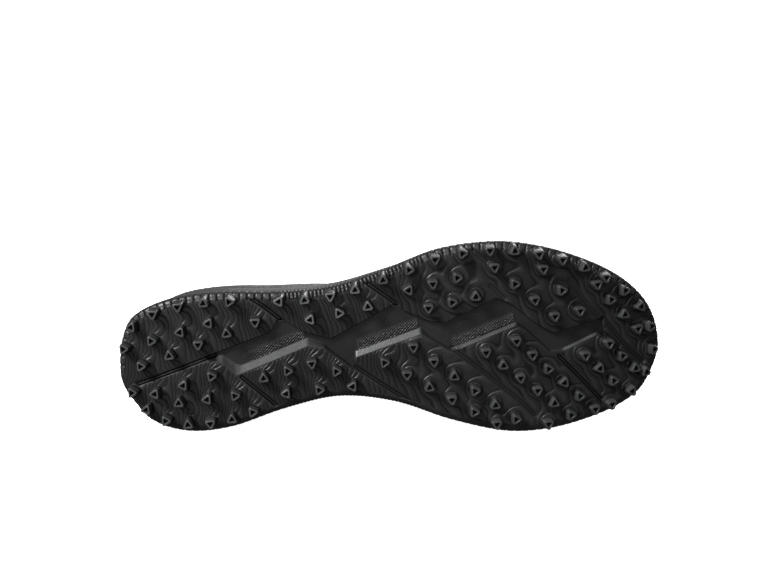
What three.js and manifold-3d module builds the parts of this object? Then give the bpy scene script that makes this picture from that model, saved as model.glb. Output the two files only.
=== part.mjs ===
import * as THREE from "three";
import { mergeVertices } from "three/addons/utils/BufferGeometryUtils.js";
import Module from "manifold-3d";

const wasm = await Module();
wasm.setup();

// A right turf shoe, lying on its inner side. It is modelled in the shoe's own frame, in millimetres:
// the heel at x = 0, the toe along +X, the inner (medial) side along +Y and the stud tips at z = 0

// Length and widths
const soleLength = 290;
const ballWidth = 102;

// Side profile of the sole: how far toe and heel curl up, and where each curl starts
const toeSpring = 15;
const springStart = 0.66;
const heelBevel = 4.5;
const bevelEnd = 0.14;

// Rubber outsole
const plateThickness = 3.6;
const rimHeight = 7;
const rimWall = 2;
const rimDraft = 0.2;
const edgeRound = 3;
const notchPitch = 9;
const notchWidth = 1.5;
const notchDepth = 0.8;

// Three-sided studs with a hollow tip: radii go to the corners
const studHeight = 6.5;
const studTipRadius = 3;
const studBaseRadius = 5.1;
const studHollowRadius = 1.7;
const studHollowFloor = 1;
const studHollowDepth = 1.3;
const rimStudInset = 4.2;
const studEdgeInset = 0.4;

// Low channel along the middle and slits between the raised blocks
const channelDepth = 1.8;
const slitWidth = 1.4;
const slitDepth = 1.5;

// Foam midsole
const heelFoam = 13;
const cupHeight = 3;
const cupDraft = 0.2;
const foamInset = 0.8;
const foamSwell = 0.3;
const cupWall = 1.4;

// Upper
const featherInset = 3.6;
const upperWall = 2.2;
const collarPadding = 2.4;
const instepHeight = 68;
const collarHeight = 62;
const heelPinch = 0.1;
const heelLean = 4;
const throatLength = 92;
const throatTopWidth = 26;
const throatEndWidth = 17;
const eyeletPairs = 6;
const eyeletRadius = 2;
const eyeletInset = 6;
const eyeletStart = 7.8;

// Tongue, insole and lace
const tongueThickness = 4;
const tongueOverlap = 9;
const tongueRise = 12;
const insoleThickness = 3;
const insoleEdge = 2.5;
const laceWidth = 6;
const laceThickness = 1.5;
const laceLift = 0.8;

// Clearance between pieces that meet, and what the floor flattens where the shoe rests
const fit = 0.3;
const restFlat = 0.5;

// Half widths of the sole as shares of the ball width
const outline = [
  { along: 0.0, lateral: -0.03, medial: 0.03 },
  { along: 0.02, lateral: 0.22, medial: 0.175 },
  { along: 0.05, lateral: 0.3, medial: 0.28 },
  { along: 0.12, lateral: 0.36, medial: 0.352 },
  { along: 0.2, lateral: 0.372, medial: 0.344 },
  { along: 0.3, lateral: 0.352, medial: 0.268 },
  { along: 0.4, lateral: 0.358, medial: 0.225 },
  { along: 0.5, lateral: 0.425, medial: 0.275 },
  { along: 0.6, lateral: 0.51, medial: 0.393 },
  { along: 0.7, lateral: 0.528, medial: 0.478 },
  { along: 0.78, lateral: 0.487, medial: 0.488 },
  { along: 0.86, lateral: 0.4, medial: 0.453 },
  { along: 0.92, lateral: 0.303, medial: 0.4 },
  { along: 0.96, lateral: 0.203, medial: 0.332 },
  { along: 0.985, lateral: 0.1, medial: 0.23 },
  { along: 1.0, lateral: -0.085, medial: 0.085 },
];

// Foam under the foot as shares of its thickness at the heel
const foam = [
  { along: 0.0, height: 0.75 },
  { along: 0.14, height: 1 },
  { along: 0.35, height: 0.93 },
  { along: 0.55, height: 0.7 },
  { along: 0.7, height: 0.56 },
  { along: 0.85, height: 0.47 },
  { along: 1.0, height: 0.36 },
];

// The closed form of the foot: crest height over the footbed as a share of the instep height, and as
// shares of the ball width the crest's offset to the inner side and how far each side swells out over the
// sole's edge. The last column says how square each cross-section is
const footForm = [
  { along: 0.0, crest: 1.5, offset: 0, outer: 0, inner: 0, square: 3 },
  { along: 0.2, crest: 1.5, offset: 0, outer: 0, inner: 0, square: 3 },
  { along: 0.3, crest: 1.4, offset: 0.005, outer: 0, inner: 0.045, square: 3 },
  { along: 0.4, crest: 1.14, offset: 0.015, outer: 0, inner: 0.1, square: 2.9 },
  { along: 0.5, crest: 1, offset: 0.024, outer: 0.01, inner: 0.085, square: 2.55 },
  { along: 0.6, crest: 0.85, offset: 0.032, outer: 0.015, inner: 0.04, square: 2.3 },
  { along: 0.7, crest: 0.69, offset: 0.04, outer: 0.01, inner: 0.01, square: 2.25 },
  { along: 0.8, crest: 0.54, offset: 0.054, outer: 0, inner: 0, square: 2.4 },
  { along: 0.9, crest: 0.4, offset: 0.069, outer: 0, inner: 0, square: 2.5 },
  { along: 1.0, crest: 0.23, offset: 0.082, outer: 0, inner: 0, square: 2.5 },
];

// Where the crest starts over the heel and ends over the toe
const crestStart = 0.086;
const crestEnd = 0.935;

// Levels up a cross-section and places along the sole between which a form changes
const swellLevels = [0.02, 0.3];
const pinchHeights = [0.15, 1];
const pinchAlong = [0.25, 0.5];
const leanAlong = [0, 0.2];
const paddingLevels = [0.2, 0.45];
const paddingAlong = [0.22, 0.34];
const throatLowShare = 0.3;

// Top edge of the collar seen from the side, as shares of the collar height over the footbed
const collar = [
  { along: -0.05, height: 1.02 },
  { along: 0.014, height: 1.02 },
  { along: 0.075, height: 0.87 },
  { along: 0.15, height: 0.73 },
  { along: 0.24, height: 0.71 },
  { along: 0.32, height: 0.84 },
  { along: 0.386, height: 1.2 },
];

// Lower edge of the rubber's side as shares of its rounding
const edgeSection = [
  { inset: 1, height: 0 },
  { inset: 0.25, height: 0.4 },
  { inset: 0, height: 0.9 },
];

// Half width of the tongue beside its full one, along the throat
const tongueForm = [
  { place: "top", width: 0.8 },
  { place: "throatStart", width: 1 },
  { place: "throatMiddle", width: 1 },
  { place: "throatEnd", width: 1 },
  { place: "end", width: 0.7 },
];

// Channel edges at its floor, as shares of length and ball width, and the width of the inner side's slope
const channelOuter = [
  { along: 0.165, across: -0.041 },
  { along: 0.285, across: -0.143 },
  { along: 0.3, across: -0.205 },
  { along: 0.311, across: -0.208 },
  { along: 0.341, across: -0.136 },
  { along: 0.395, across: -0.085 },
  { along: 0.515, across: -0.245 },
  { along: 0.529, across: -0.203 },
  { along: 0.573, across: -0.139 },
  { along: 0.601, across: -0.122 },
  { along: 0.697, across: -0.231 },
  { along: 0.723, across: -0.197 },
  { along: 0.767, across: -0.08 },
  { along: 0.798, across: -0.022 },
  { along: 0.893, across: -0.076 },
];
const channelInner = [
  { along: 0.165, across: -0.03, slope: 0.004 },
  { along: 0.193, across: -0.011, slope: 0.01 },
  { along: 0.217, across: 0.05, slope: 0.02 },
  { along: 0.225, across: 0.019, slope: 0.042 },
  { along: 0.351, across: -0.101, slope: 0.042 },
  { along: 0.38, across: -0.062, slope: 0.02 },
  { along: 0.428, across: 0.064, slope: 0.012 },
  { along: 0.436, across: -0.011, slope: 0.031 },
  { along: 0.558, across: -0.109, slope: 0.031 },
  { along: 0.571, across: -0.068, slope: 0.016 },
  { along: 0.608, across: 0.011, slope: 0.01 },
  { along: 0.627, across: -0.001, slope: 0.016 },
  { along: 0.732, across: -0.101, slope: 0.016 },
  { along: 0.748, across: -0.064, slope: 0.01 },
  { along: 0.791, across: 0.063, slope: 0.01 },
  { along: 0.813, across: 0.065, slope: 0.012 },
  { along: 0.884, across: -0.008, slope: 0.012 },
  { along: 0.893, across: 0.023, slope: 0.01 },
];

// Slits between the blocks, each a run of corners
const slits = [
  { block: "heel", corners: [[0.034, 0.081], [0.104, 0.02], [0.18, -0.045]] },
  { block: "heel inner", corners: [[0.226, 0.08], [0.262, 0.18], [0.29, 0.262]] },
  { block: "waist outer", corners: [[0.222, -0.39], [0.268, -0.305], [0.305, -0.212]] },
  { block: "waist inner", corners: [[0.434, 0.068], [0.49, 0.193], [0.54, 0.302]] },
  { block: "ball outer", corners: [[0.451, -0.4], [0.485, -0.322], [0.517, -0.244]] },
  { block: "ball inner", corners: [[0.612, 0.01], [0.667, 0.15], [0.728, 0.313], [0.756, 0.4]] },
  { block: "tread outer", corners: [[0.65, -0.52], [0.687, -0.414], [0.726, -0.283]] },
  { block: "tread middle", corners: [[0.689, -0.3], [0.712, -0.23]] },
  { block: "tread inner", corners: [[0.806, 0.1], [0.85, 0.247], [0.885, 0.37]] },
  { block: "toe outer", corners: [[0.832, -0.295], [0.854, -0.2], [0.872, -0.127], [0.889, -0.07]] },
  { block: "toe middle", corners: [[0.893, -0.076], [0.93, 0.07], [0.964, 0.18]] },
  { block: "toe inner", corners: [[0.893, 0.01], [0.92, 0.08]] },
];

// Rows of studs. A straight row runs between two places; a rim row follows the edge, where a minus sign
// marks the outer side. Each letter turns one stud's point: heelwards, toewards, outwards or inwards
const studRows = [
  { row: "heel outer rim", rim: [-0.03, -0.22], points: "hiiot" },
  { row: "heel outer second", from: [0.022, -0.12], to: [0.178, -0.225], points: "tthh" },
  { row: "heel middle", from: [0.05, -0.025], to: [0.262, -0.212], points: "toioi" },
  { row: "heel inner rim", rim: [0.012, 0.248], inset: 5.6, points: "thtoiot" },
  { row: "heel inner first", from: [0.07, 0.125], to: [0.174, 0.052], points: "hht" },
  { row: "heel inner second", from: [0.111, 0.18], to: [0.213, 0.163], points: "oht" },
  { row: "waist outer rim", rim: [-0.308, -0.442], points: "hoio" },
  { row: "waist outer second", from: [0.361, -0.205], to: [0.466, -0.25], points: "hto" },
  { row: "waist inner first", from: [0.268, 0.082], to: [0.357, 0.025], points: "oti" },
  { row: "waist inner last", from: [0.4, 0.075], to: [0.4, 0.075], points: "t" },
  { row: "waist inner second", from: [0.306, 0.172], to: [0.427, 0.16], points: "hth" },
  { row: "ball outer rim", rim: [-0.493, -0.64], points: "otit" },
  { row: "ball outer second", from: [0.541, -0.318], to: [0.629, -0.362], points: "hit" },
  { row: "ball outer third", from: [0.574, -0.217], to: [0.66, -0.258], points: "ito" },
  { row: "ball inner first", from: [0.542, -0.02], to: [0.718, 0.4], points: "iiotot" },
  { row: "ball inner second", from: [0.488, 0.048], to: [0.683, 0.418], points: "tioiti" },
  { row: "toe rim", rim: [-0.69, 0.9], points: "ioiioithttohi" },
  { row: "tread outer", from: [0.696, -0.4], to: [0.798, -0.12], points: "itii" },
  { row: "tread middle", from: [0.782, -0.369], to: [0.844, -0.135], points: "iti" },
  { row: "tread inner first", from: [0.727, -0.01], to: [0.863, 0.392], points: "iithti" },
  { row: "tread inner second", from: [0.672, 0.036], to: [0.818, 0.408], points: "ioiiot" },
  { row: "tread inner rim", from: [0.776, 0.442], to: [0.776, 0.442], points: "i" },
  { row: "toe outer", from: [0.881, -0.258], to: [0.962, 0.02], points: "itoi" },
  { row: "toe inner first", from: [0.895, 0.054], to: [0.942, 0.2], points: "ito" },
  { row: "toe inner second", from: [0.85, 0.102], to: [0.9, 0.252], points: "iht" },
];
const pointTurns = { t: 0, i: Math.PI / 2, h: Math.PI, o: -Math.PI / 2 };

// How finely round shapes are divided
const stations = 28;
const sectionSteps = 7;
const rimRowSteps = 24;
const channelStep = 15;
const channelGap = 0.3;
const collarSteps = 16;
const throatRoundSteps = 6;
const eyeletSides = 8;
const laceSteps = 9;

// How the lying pose is found: where heel and ball part, the widest turn in radians and how often it is
// halved
const waistShare = 0.4;
const widestTurn = 0.3;
const poseRounds = 6;
const poseSteps = 40;

// A step that reaches clear through or past a surface
const past = 1;

// Smooth value of one column of a table, through its rows
function smooth(table, column, key, at) {
  const last = table.length - 1;
  let row = 0;
  while (row < last - 1 && at > table[row + 1][key]) row += 1;
  const slope = (low, high) =>
    (table[high][column] - table[low][column]) / (table[high][key] - table[low][key]);
  const span = table[row + 1][key] - table[row][key];
  const share = THREE.MathUtils.clamp((at - table[row][key]) / span, 0, 1);
  const slopeIn = slope(Math.max(row - 1, 0), row + 1) * span;
  const slopeOut = slope(row, Math.min(row + 2, last)) * span;
  const { h00, h10, h01, h11 } = hermite(share);
  return h00 * table[row][column] + h10 * slopeIn + h01 * table[row + 1][column] + h11 * slopeOut;
}

function hermite(s) {
  return {
    h00: (1 + 2 * s) * (1 - s) ** 2,
    h10: s * (1 - s) ** 2,
    h01: s * s * (3 - 2 * s),
    h11: s * s * (s - 1),
  };
}

// Value of one column on straight lines between the rows
function straight(table, column, at) {
  let row = 0;
  while (row < table.length - 2 && at > table[row + 1].along) row += 1;
  const [low, high] = [table[row], table[row + 1]];
  const share = THREE.MathUtils.clamp((at - low.along) / (high.along - low.along), 0, 1);
  return THREE.MathUtils.lerp(low[column], high[column], share);
}

// Heights along the sole
function rise(x) {
  const along = x / soleLength;
  const toe = Math.max(0, (along - springStart) / (1 - springStart));
  const heel = Math.max(0, (bevelEnd - along) / bevelEnd);
  return toeSpring * toe ** 2 + heelBevel * heel ** 2;
}

function faceHeight(x) {
  return studHeight + rise(x);
}

function trayHeight(x) {
  return faceHeight(x) + plateThickness;
}

function rimTop(x) {
  return faceHeight(x) + rimHeight;
}

function footbedHeight(x) {
  const share = THREE.MathUtils.clamp(x / soleLength, 0, 1);
  return trayHeight(x) + heelFoam * smooth(foam, "height", "along", share);
}

// The edge of the sole. The turn goes from 0 at the heel by the outer side to PI at the toe and back
const outlineByTurn = outline.map((row) => ({ ...row, turn: Math.acos(1 - 2 * row.along) }));
const turns = Array.from({ length: 2 * stations }, (_, at) => (Math.PI * at) / stations);

function isOuter(turn) {
  return THREE.MathUtils.euclideanModulo(turn, 2 * Math.PI) <= Math.PI;
}

function onOutline(turn) {
  const half = Math.acos(Math.cos(turn));
  const width = smooth(outlineByTurn, isOuter(turn) ? "lateral" : "medial", "turn", half) * ballWidth;
  return new THREE.Vector3((soleLength * (1 - Math.cos(half))) / 2, isOuter(turn) ? -width : width, 0);
}

function inward(turn) {
  const step = 0.01;
  const tangent = onOutline(turn + step).sub(onOutline(turn - step)).normalize();
  return new THREE.Vector3(-tangent.y, tangent.x, 0);
}

function edgePoint(turn, inset) {
  return onOutline(turn).addScaledVector(inward(turn), inset);
}

// One ring round the sole, at an inset from its edge and a height that follows its profile
function ring(inset, heightAt) {
  return turns.map((turn) => {
    const point = edgePoint(turn, inset);
    return point.setZ(heightAt(point.x));
  });
}

// Solids
function toSolid(geometry) {
  geometry.deleteAttribute("normal");
  geometry.deleteAttribute("uv");
  const merged = mergeVertices(geometry, 1e-4);
  const corners = merged.index.array;
  const kept = [];
  for (let at = 0; at < corners.length; at += 3) {
    const [a, b, c] = corners.subarray(at, at + 3);
    if (a !== b && b !== c && c !== a) kept.push(a, b, c);
  }
  return new wasm.Manifold(new wasm.Mesh({
    numProp: 3,
    vertProperties: Float32Array.from(merged.attributes.position.array),
    triVerts: Uint32Array.from(kept),
  }));
}

// A closed body through a stack of rings. Seen from the last ring's side, each ring runs anticlockwise;
// the ends are closed by strips between the two halves of a ring
function loft(rings) {
  const count = rings[0].length;
  const top = (rings.length - 1) * count;
  const index = [];
  rings.slice(1).forEach((_, level) => {
    for (let at = 0; at < count; at += 1) {
      const next = (at + 1) % count;
      const [low, lowNext] = [level * count + at, level * count + next];
      index.push(low, lowNext, lowNext + count, low, lowNext + count, low + count);
    }
  });
  for (let at = 0; at < Math.floor(count / 2); at += 1) {
    const across = (count - at) % count;
    const acrossNext = count - at - 1;
    index.push(acrossNext, at + 1, at, across, acrossNext, at);
    index.push(top + at, top + at + 1, top + acrossNext, top + at, top + acrossNext, top + across);
  }
  const geometry = new THREE.BufferGeometry().setFromPoints(rings.flat());
  return toSolid(geometry.setIndex(index));
}

function join(solids) {
  return wasm.Manifold.union(solids);
}

function prism(points, depth) {
  const shape = new THREE.Shape(points.map(([x, y]) => new THREE.Vector2(x, y)));
  return new THREE.ExtrudeGeometry(shape, { depth, bevelEnabled: false });
}

// Outsole
function stud(x, y, turn) {
  const slope = Math.atan((rise(x + past) - rise(x - past)) / (2 * past));
  const place = new THREE.Matrix4()
    .makeTranslation(x, y, faceHeight(x))
    .multiply(new THREE.Matrix4().makeRotationY(-slope))
    .multiply(new THREE.Matrix4().makeRotationZ(turn));
  const corners = (radius, z) => [0, 1, 2].map((corner) => {
    const angle = (corner * 2 * Math.PI) / 3;
    return new THREE.Vector3(radius * Math.cos(angle), radius * Math.sin(angle), z).applyMatrix4(place);
  });
  return loft([
    corners(studHollowFloor, studHollowDepth - studHeight),
    corners(studHollowRadius, -studHeight),
    corners(studTipRadius, -studHeight),
    corners(studBaseRadius, 0),
    corners(studBaseRadius, edgeRound),
  ]);
}

function rimTurn(share) {
  const half = Math.acos(1 - 2 * Math.abs(share));
  return share < 0 ? half : 2 * Math.PI - half;
}

function rowPlaces({ rim, from, to, inset = rimStudInset, points }) {
  const count = points.length;
  if (rim) {
    const [start, end] = rim.map(rimTurn);
    const path = Array.from({ length: rimRowSteps + 1 }, (_, at) =>
      edgePoint(THREE.MathUtils.lerp(start, end, at / rimRowSteps), inset));
    return new THREE.CatmullRomCurve3(path).getSpacedPoints(count - 1);
  }
  const start = new THREE.Vector3(from[0] * soleLength, from[1] * ballWidth, 0);
  const end = new THREE.Vector3(to[0] * soleLength, to[1] * ballWidth, 0);
  return Array.from({ length: count }, (_, at) => start.clone().lerp(end, at / Math.max(count - 1, 1)));
}

function studs() {
  const all = studRows.flatMap((row) => rowPlaces(row).map(({ x, y }, at) =>
    stud(x, y, pointTurns[row.points[at]])));
  const edge = loft([
    ring(studEdgeInset, () => -studHeight),
    ring(studEdgeInset, (x) => faceHeight(x) + edgeRound),
  ]);
  return join(all).intersect(edge);
}

function channel() {
  const breaks = [...channelOuter, ...channelInner].map((row) => row.along * soleLength);
  const start = Math.min(...breaks);
  const end = Math.max(...breaks);
  const between = Math.round((end - start) / channelStep);
  for (let at = 1; at < between; at += 1) breaks.push(start + ((end - start) * at) / between);
  breaks.sort((a, b) => a - b);
  const places = breaks.filter((x, at) => at === 0 || x - breaks[at - 1] > channelGap);
  return loft(places.map((x) => {
    const along = x / soleLength;
    const outer = straight(channelOuter, "across", along) * ballWidth;
    const inner = straight(channelInner, "across", along) * ballWidth;
    const slope = straight(channelInner, "slope", along) * ballWidth;
    const reach = 1 + past / channelDepth;
    return [
      new THREE.Vector3(x, outer, faceHeight(x) - past),
      new THREE.Vector3(x, inner + slope * reach, faceHeight(x) - past),
      new THREE.Vector3(x, inner, faceHeight(x) + channelDepth),
      new THREE.Vector3(x, outer, faceHeight(x) + channelDepth),
    ];
  }));
}

function slit({ corners }) {
  const path = corners.map(([along, across]) =>
    new THREE.Vector3(along * soleLength, across * ballWidth, 0));
  const line = new THREE.CatmullRomCurve3(path, false, "catmullrom", 0.2);
  const steps = Math.ceil(line.getLength() / channelStep);
  return loft(Array.from({ length: steps + 1 }, (_, at) => {
    const middle = line.getPointAt(at / steps);
    const tangent = line.getTangentAt(at / steps);
    const side = new THREE.Vector3(-tangent.y, tangent.x, 0).multiplyScalar(slitWidth / 2);
    const low = faceHeight(middle.x) - past;
    const high = faceHeight(middle.x) + slitDepth;
    return [
      middle.clone().sub(side).setZ(low),
      middle.clone().add(side).setZ(low),
      middle.clone().addScaledVector(side, 0.5).setZ(high),
      middle.clone().addScaledVector(side, -0.5).setZ(high),
    ];
  }));
}

// Upright notches round the rubber's side
function notches() {
  const edge = new THREE.CatmullRomCurve3(ring(0, () => 0), true);
  const count = Math.round(edge.getLength() / notchPitch);
  return join(Array.from({ length: count }, (_, at) => {
    const middle = edge.getPointAt(at / count);
    const tangent = edge.getTangentAt(at / count).setZ(0).normalize();
    const outwards = new THREE.Vector3(tangent.y, -tangent.x, 0);
    const mouth = (notchWidth / 2) * (1 + past / notchDepth);
    const section = (z) => [
      middle.clone().addScaledVector(outwards, -notchDepth).setZ(z),
      middle.clone().addScaledVector(outwards, past).addScaledVector(tangent, -mouth).setZ(z),
      middle.clone().addScaledVector(outwards, past).addScaledVector(tangent, mouth).setZ(z),
    ];
    return loft([section(faceHeight(middle.x) + past), section(rimTop(middle.x) - past)]);
  }));
}

function outsole() {
  const plate = loft([
    ...edgeSection.map(({ inset, height }) =>
      ring(edgeRound * inset, (x) => faceHeight(x) + edgeRound * height)),
    ring(rimDraft, rimTop),
    ring(rimWall, rimTop),
    ring(rimWall + rimDraft, trayHeight),
  ]);
  const cuts = join([channel(), ...slits.map(slit)]);
  return join([plate.subtract(cuts), studs()]).subtract(notches());
}

// Midsole: it fills the rubber tray, steps out over its rim and cups the upper's lower edge
function midsole() {
  const inTray = rimWall + rimDraft + fit;
  const inCup = featherInset - fit;
  const cupTop = (x) => footbedHeight(x) + cupHeight;
  return loft([
    ring(inTray, (x) => trayHeight(x) + fit),
    ring(inTray, (x) => rimTop(x) + fit),
    ring(foamInset, (x) => rimTop(x) + fit),
    ring(foamInset - foamSwell, (x) => (rimTop(x) + cupTop(x)) / 2),
    ring(inCup - cupWall, cupTop),
    ring(inCup - cupDraft, cupTop),
    ring(inCup, footbedHeight),
  ]);
}

// The form of the foot inside an offset: the space of the last grown by what lies between
function formPoint(turn, inset, level, bottom) {
  const { lerp, smoothstep } = THREE.MathUtils;
  const station = onOutline(turn).x / soleLength;
  const crestX = lerp(crestStart * soleLength + inset, crestEnd * soleLength - inset, station);
  const along = crestX / soleLength;
  const shape = (column) => smooth(footForm, column, "along", along);
  const crestZ = footbedHeight(crestX) + shape("crest") * instepHeight - inset;
  const crest = new THREE.Vector3(crestX, shape("offset") * ballWidth, crestZ);
  const side = shape(isOuter(turn) ? "outer" : "inner") * ballWidth;
  const foot = edgePoint(turn, featherInset + inset - side * smoothstep(level, ...swellLevels));
  foot.setZ(footbedHeight(foot.x) + bottom);
  const power = 2 / shape("square");
  const angle = (level * Math.PI) / 2;
  const point = new THREE.Vector3().lerpVectors(crest, foot, Math.max(Math.cos(angle), 0) ** power);
  point.setZ(lerp(foot.z, crest.z, Math.sin(angle) ** power));
  const overFootbed = (point.z - footbedHeight(0)) / collarHeight;
  const heel = smoothstep(overFootbed, ...pinchHeights) * (1 - smoothstep(along, ...pinchAlong));
  point.y *= 1 - heelPinch * heel;
  point.x += heelLean * heel * (1 - smoothstep(point.x / soleLength, ...leanAlong));
  return point;
}

function footSolid(insetAt, bottom) {
  const levels = Array.from({ length: sectionSteps + 1 }, (_, at) => at / sectionSteps);
  levels.splice(1, 0, swellLevels[0]);
  return loft(levels.map((level) => turns.map((turn) =>
    formPoint(turn, insetAt(onOutline(turn).x, level), level, bottom))));
}

// Where the throat starts at the collar and ends over the toes
const throatStart = collar.at(-1).along * soleLength;
const throatEnd = throatStart + throatLength;

function throatHalf(x) {
  const share = (x - throatStart) / throatLength;
  return THREE.MathUtils.lerp(throatTopWidth, throatEndWidth, THREE.MathUtils.clamp(share, 0, 1)) / 2;
}

function throatMiddle(x) {
  return smooth(footForm, "offset", "along", x / soleLength) * ballWidth;
}

// Above everything that the upper reaches
const overhead = 2.5 * Math.max(instepHeight, collarHeight);

// Height from which the throat is open and the tongue starts, above the foot's sides
const throatLow = footbedHeight(throatEnd) + instepHeight * throatLowShare;

function collarCut() {
  const edge = Array.from({ length: collarSteps + 1 }, (_, at) => {
    const along = THREE.MathUtils.lerp(collar[0].along, collar.at(-1).along, at / collarSteps);
    const height = smooth(collar, "height", "along", along) * collarHeight;
    return [along * soleLength, footbedHeight(bevelEnd * soleLength) + height];
  });
  const [first, last] = [edge[0], edge.at(-1)];
  const profile = prism([...edge, [last[0], overhead], [first[0], overhead]], 2 * ballWidth);
  return toSolid(profile.rotateX(Math.PI / 2).translate(0, ballWidth, 0));
}

function throatCut() {
  const centre = throatEnd - throatEndWidth / 2;
  const side = (sign) => [throatStart - past, (throatStart + throatEnd) / 2, centre]
    .map((x) => [x, throatMiddle(x) + sign * throatHalf(x)]);
  const round = Array.from({ length: throatRoundSteps - 1 }, (_, at) => {
    const angle = (Math.PI * (at + 1)) / throatRoundSteps - Math.PI / 2;
    return [
      centre + Math.cos(angle) * throatHalf(centre),
      throatMiddle(centre) + Math.sin(angle) * throatHalf(centre),
    ];
  });
  const shape = [...side(-1), ...round, ...side(1).reverse()];
  return toSolid(prism(shape, overhead).translate(0, 0, throatLow));
}

// Height of the outside of the upper over a place in plan
const outerForm = footSolid(() => 0, fit);
const outerSurface = new THREE.Mesh(toGeometry(outerForm), new THREE.MeshBasicMaterial());

function surfacePoint(x, y) {
  const down = new THREE.Raycaster(new THREE.Vector3(x, y, overhead), new THREE.Vector3(0, 0, -1));
  return down.intersectObject(outerSurface)[0].point;
}

function surfaceNormal(x, y) {
  const ahead = surfacePoint(x + past, y).sub(surfacePoint(x - past, y));
  const aside = surfacePoint(x, y + past).sub(surfacePoint(x, y - past));
  return ahead.cross(aside).normalize();
}

function eyeletPlace(pair, side) {
  const top = throatStart + eyeletStart;
  const end = throatEnd - eyeletInset;
  const x = THREE.MathUtils.lerp(end, top, pair / (eyeletPairs - 1));
  return [x, throatMiddle(x) + side * (throatHalf(x) + eyeletInset)];
}

function eyelets() {
  const holes = [];
  for (let pair = 0; pair < eyeletPairs; pair += 1) {
    for (const side of [-1, 1]) {
      const [x, y] = eyeletPlace(pair, side);
      const depth = 4 * (upperWall + past);
      const hole = new THREE.CylinderGeometry(eyeletRadius, eyeletRadius, depth, eyeletSides);
      const turn = new THREE.Quaternion()
        .setFromUnitVectors(new THREE.Vector3(0, 1, 0), surfaceNormal(x, y));
      const place = surfacePoint(x, y);
      holes.push(toSolid(hole.applyQuaternion(turn).translate(place.x, place.y, place.z)));
    }
  }
  return join(holes);
}

// The wall is thicker where the collar is padded
function wallAt(x, level) {
  const { smoothstep } = THREE.MathUtils;
  const ahead = smoothstep(x / soleLength, ...paddingAlong);
  return upperWall + collarPadding * smoothstep(level, ...paddingLevels) * (1 - ahead);
}

function upper() {
  const inside = footSolid(wallAt, fit - past);
  return outerForm.subtract(inside).subtract(join([collarCut(), throatCut(), eyelets()]));
}

// Tongue: a padded sheet just under the upper, from above the collar to past the throat's end
function tongue() {
  const outside = footSolid(() => upperWall + 2 * fit, fit);
  const inside = footSolid(() => upperWall + 2 * fit + tongueThickness, fit - past);
  const places = {
    top: throatStart - tongueRise,
    throatStart,
    throatMiddle: (throatStart + throatEnd) / 2,
    throatEnd,
    end: throatEnd + tongueOverlap,
  };
  const side = (sign) => tongueForm.map(({ place, width }) => {
    const x = places[place];
    return [x, throatMiddle(x) + sign * (throatHalf(x) + tongueOverlap) * width];
  });
  const strip = prism([...side(-1), ...side(1).reverse()], overhead).translate(0, 0, throatLow);
  return outside.subtract(inside).intersect(toSolid(strip));
}

function insole() {
  const inset = featherInset + upperWall + 3 * fit;
  return loft([
    ring(inset, (x) => footbedHeight(x) + fit),
    ring(inset, (x) => footbedHeight(x) + fit + insoleThickness + insoleEdge),
    ring(inset + past, (x) => footbedHeight(x) + fit + insoleThickness + insoleEdge),
    ring(inset + insoleEdge * 2, (x) => footbedHeight(x) + fit + insoleThickness),
  ]);
}

// Lace: a flat bar from each eyelet to the one across the throat
function laceBar(pair) {
  const [fromX, fromY] = eyeletPlace(pair, -1);
  const [toX, toY] = eyeletPlace(pair, 1);
  const start = new THREE.Vector3(fromX, fromY, 0);
  const end = new THREE.Vector3(toX, toY, 0);
  const direction = end.clone().sub(start).normalize();
  start.addScaledVector(direction, -laceWidth / 2);
  end.addScaledVector(direction, laceWidth / 2);
  const side = new THREE.Vector3(-direction.y, direction.x, 0).multiplyScalar(laceWidth / 2);
  return loft(Array.from({ length: laceSteps + 1 }, (_, at) => {
    const middle = start.clone().lerp(end, at / laceSteps);
    const up = surfaceNormal(middle.x, middle.y);
    const [right, left] = [-1, 1].map((sign) => {
      const edge = middle.clone().addScaledVector(side, sign);
      return surfacePoint(edge.x, edge.y).addScaledVector(up, laceLift);
    });
    const top = (edge) => edge.clone().addScaledVector(up, laceThickness);
    return [right, left, top(left), top(right)];
  }));
}

// Scene
function toGeometry(solid) {
  const { vertProperties, triVerts } = solid.getMesh();
  const geometry = new THREE.BufferGeometry();
  geometry.setAttribute("position", new THREE.BufferAttribute(Float32Array.from(vertProperties), 3));
  geometry.setIndex(new THREE.BufferAttribute(Uint32Array.from(triVerts), 1));
  geometry.computeVertexNormals();
  return geometry;
}

const pieces = {
  outsole: { solid: outsole(), color: 0x16171a, roughness: 0.62, metalness: 0 },
  midsole: { solid: midsole(), color: 0x1b1c1f, roughness: 0.7, metalness: 0 },
  upper: { solid: upper(), color: 0x1d1e21, roughness: 0.55, metalness: 0 },
  tongue: { solid: tongue(), color: 0x202124, roughness: 0.8, metalness: 0 },
  insole: { solid: insole(), color: 0x2a2b2f, roughness: 0.9, metalness: 0 },
};
for (let pair = 0; pair < eyeletPairs; pair += 1) {
  const solid = laceBar(pair);
  pieces[`lace_bar_${pair + 1}`] = { solid, color: 0x242528, roughness: 0.85, metalness: 0 };
}

// The lying shoe: turned onto its inner side, then leant until sole edge and upper both touch the floor
function lying(yaw, lean) {
  return new THREE.Matrix4()
    .makeRotationX(-Math.PI / 2 - lean)
    .multiply(new THREE.Matrix4().makeRotationZ(yaw));
}

const corners = Object.fromEntries(Object.entries(pieces).map(([name, { solid }]) => {
  const { attributes } = toGeometry(solid);
  return [name, Array.from({ length: attributes.position.count }, (_, at) =>
    new THREE.Vector3().fromBufferAttribute(attributes.position, at))];
}));

function lowest(points, pose) {
  const { elements } = pose;
  return points.reduce((low, { x, y, z }) =>
    Math.min(low, elements[2] * x + elements[6] * y + elements[10] * z), Infinity);
}

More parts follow.
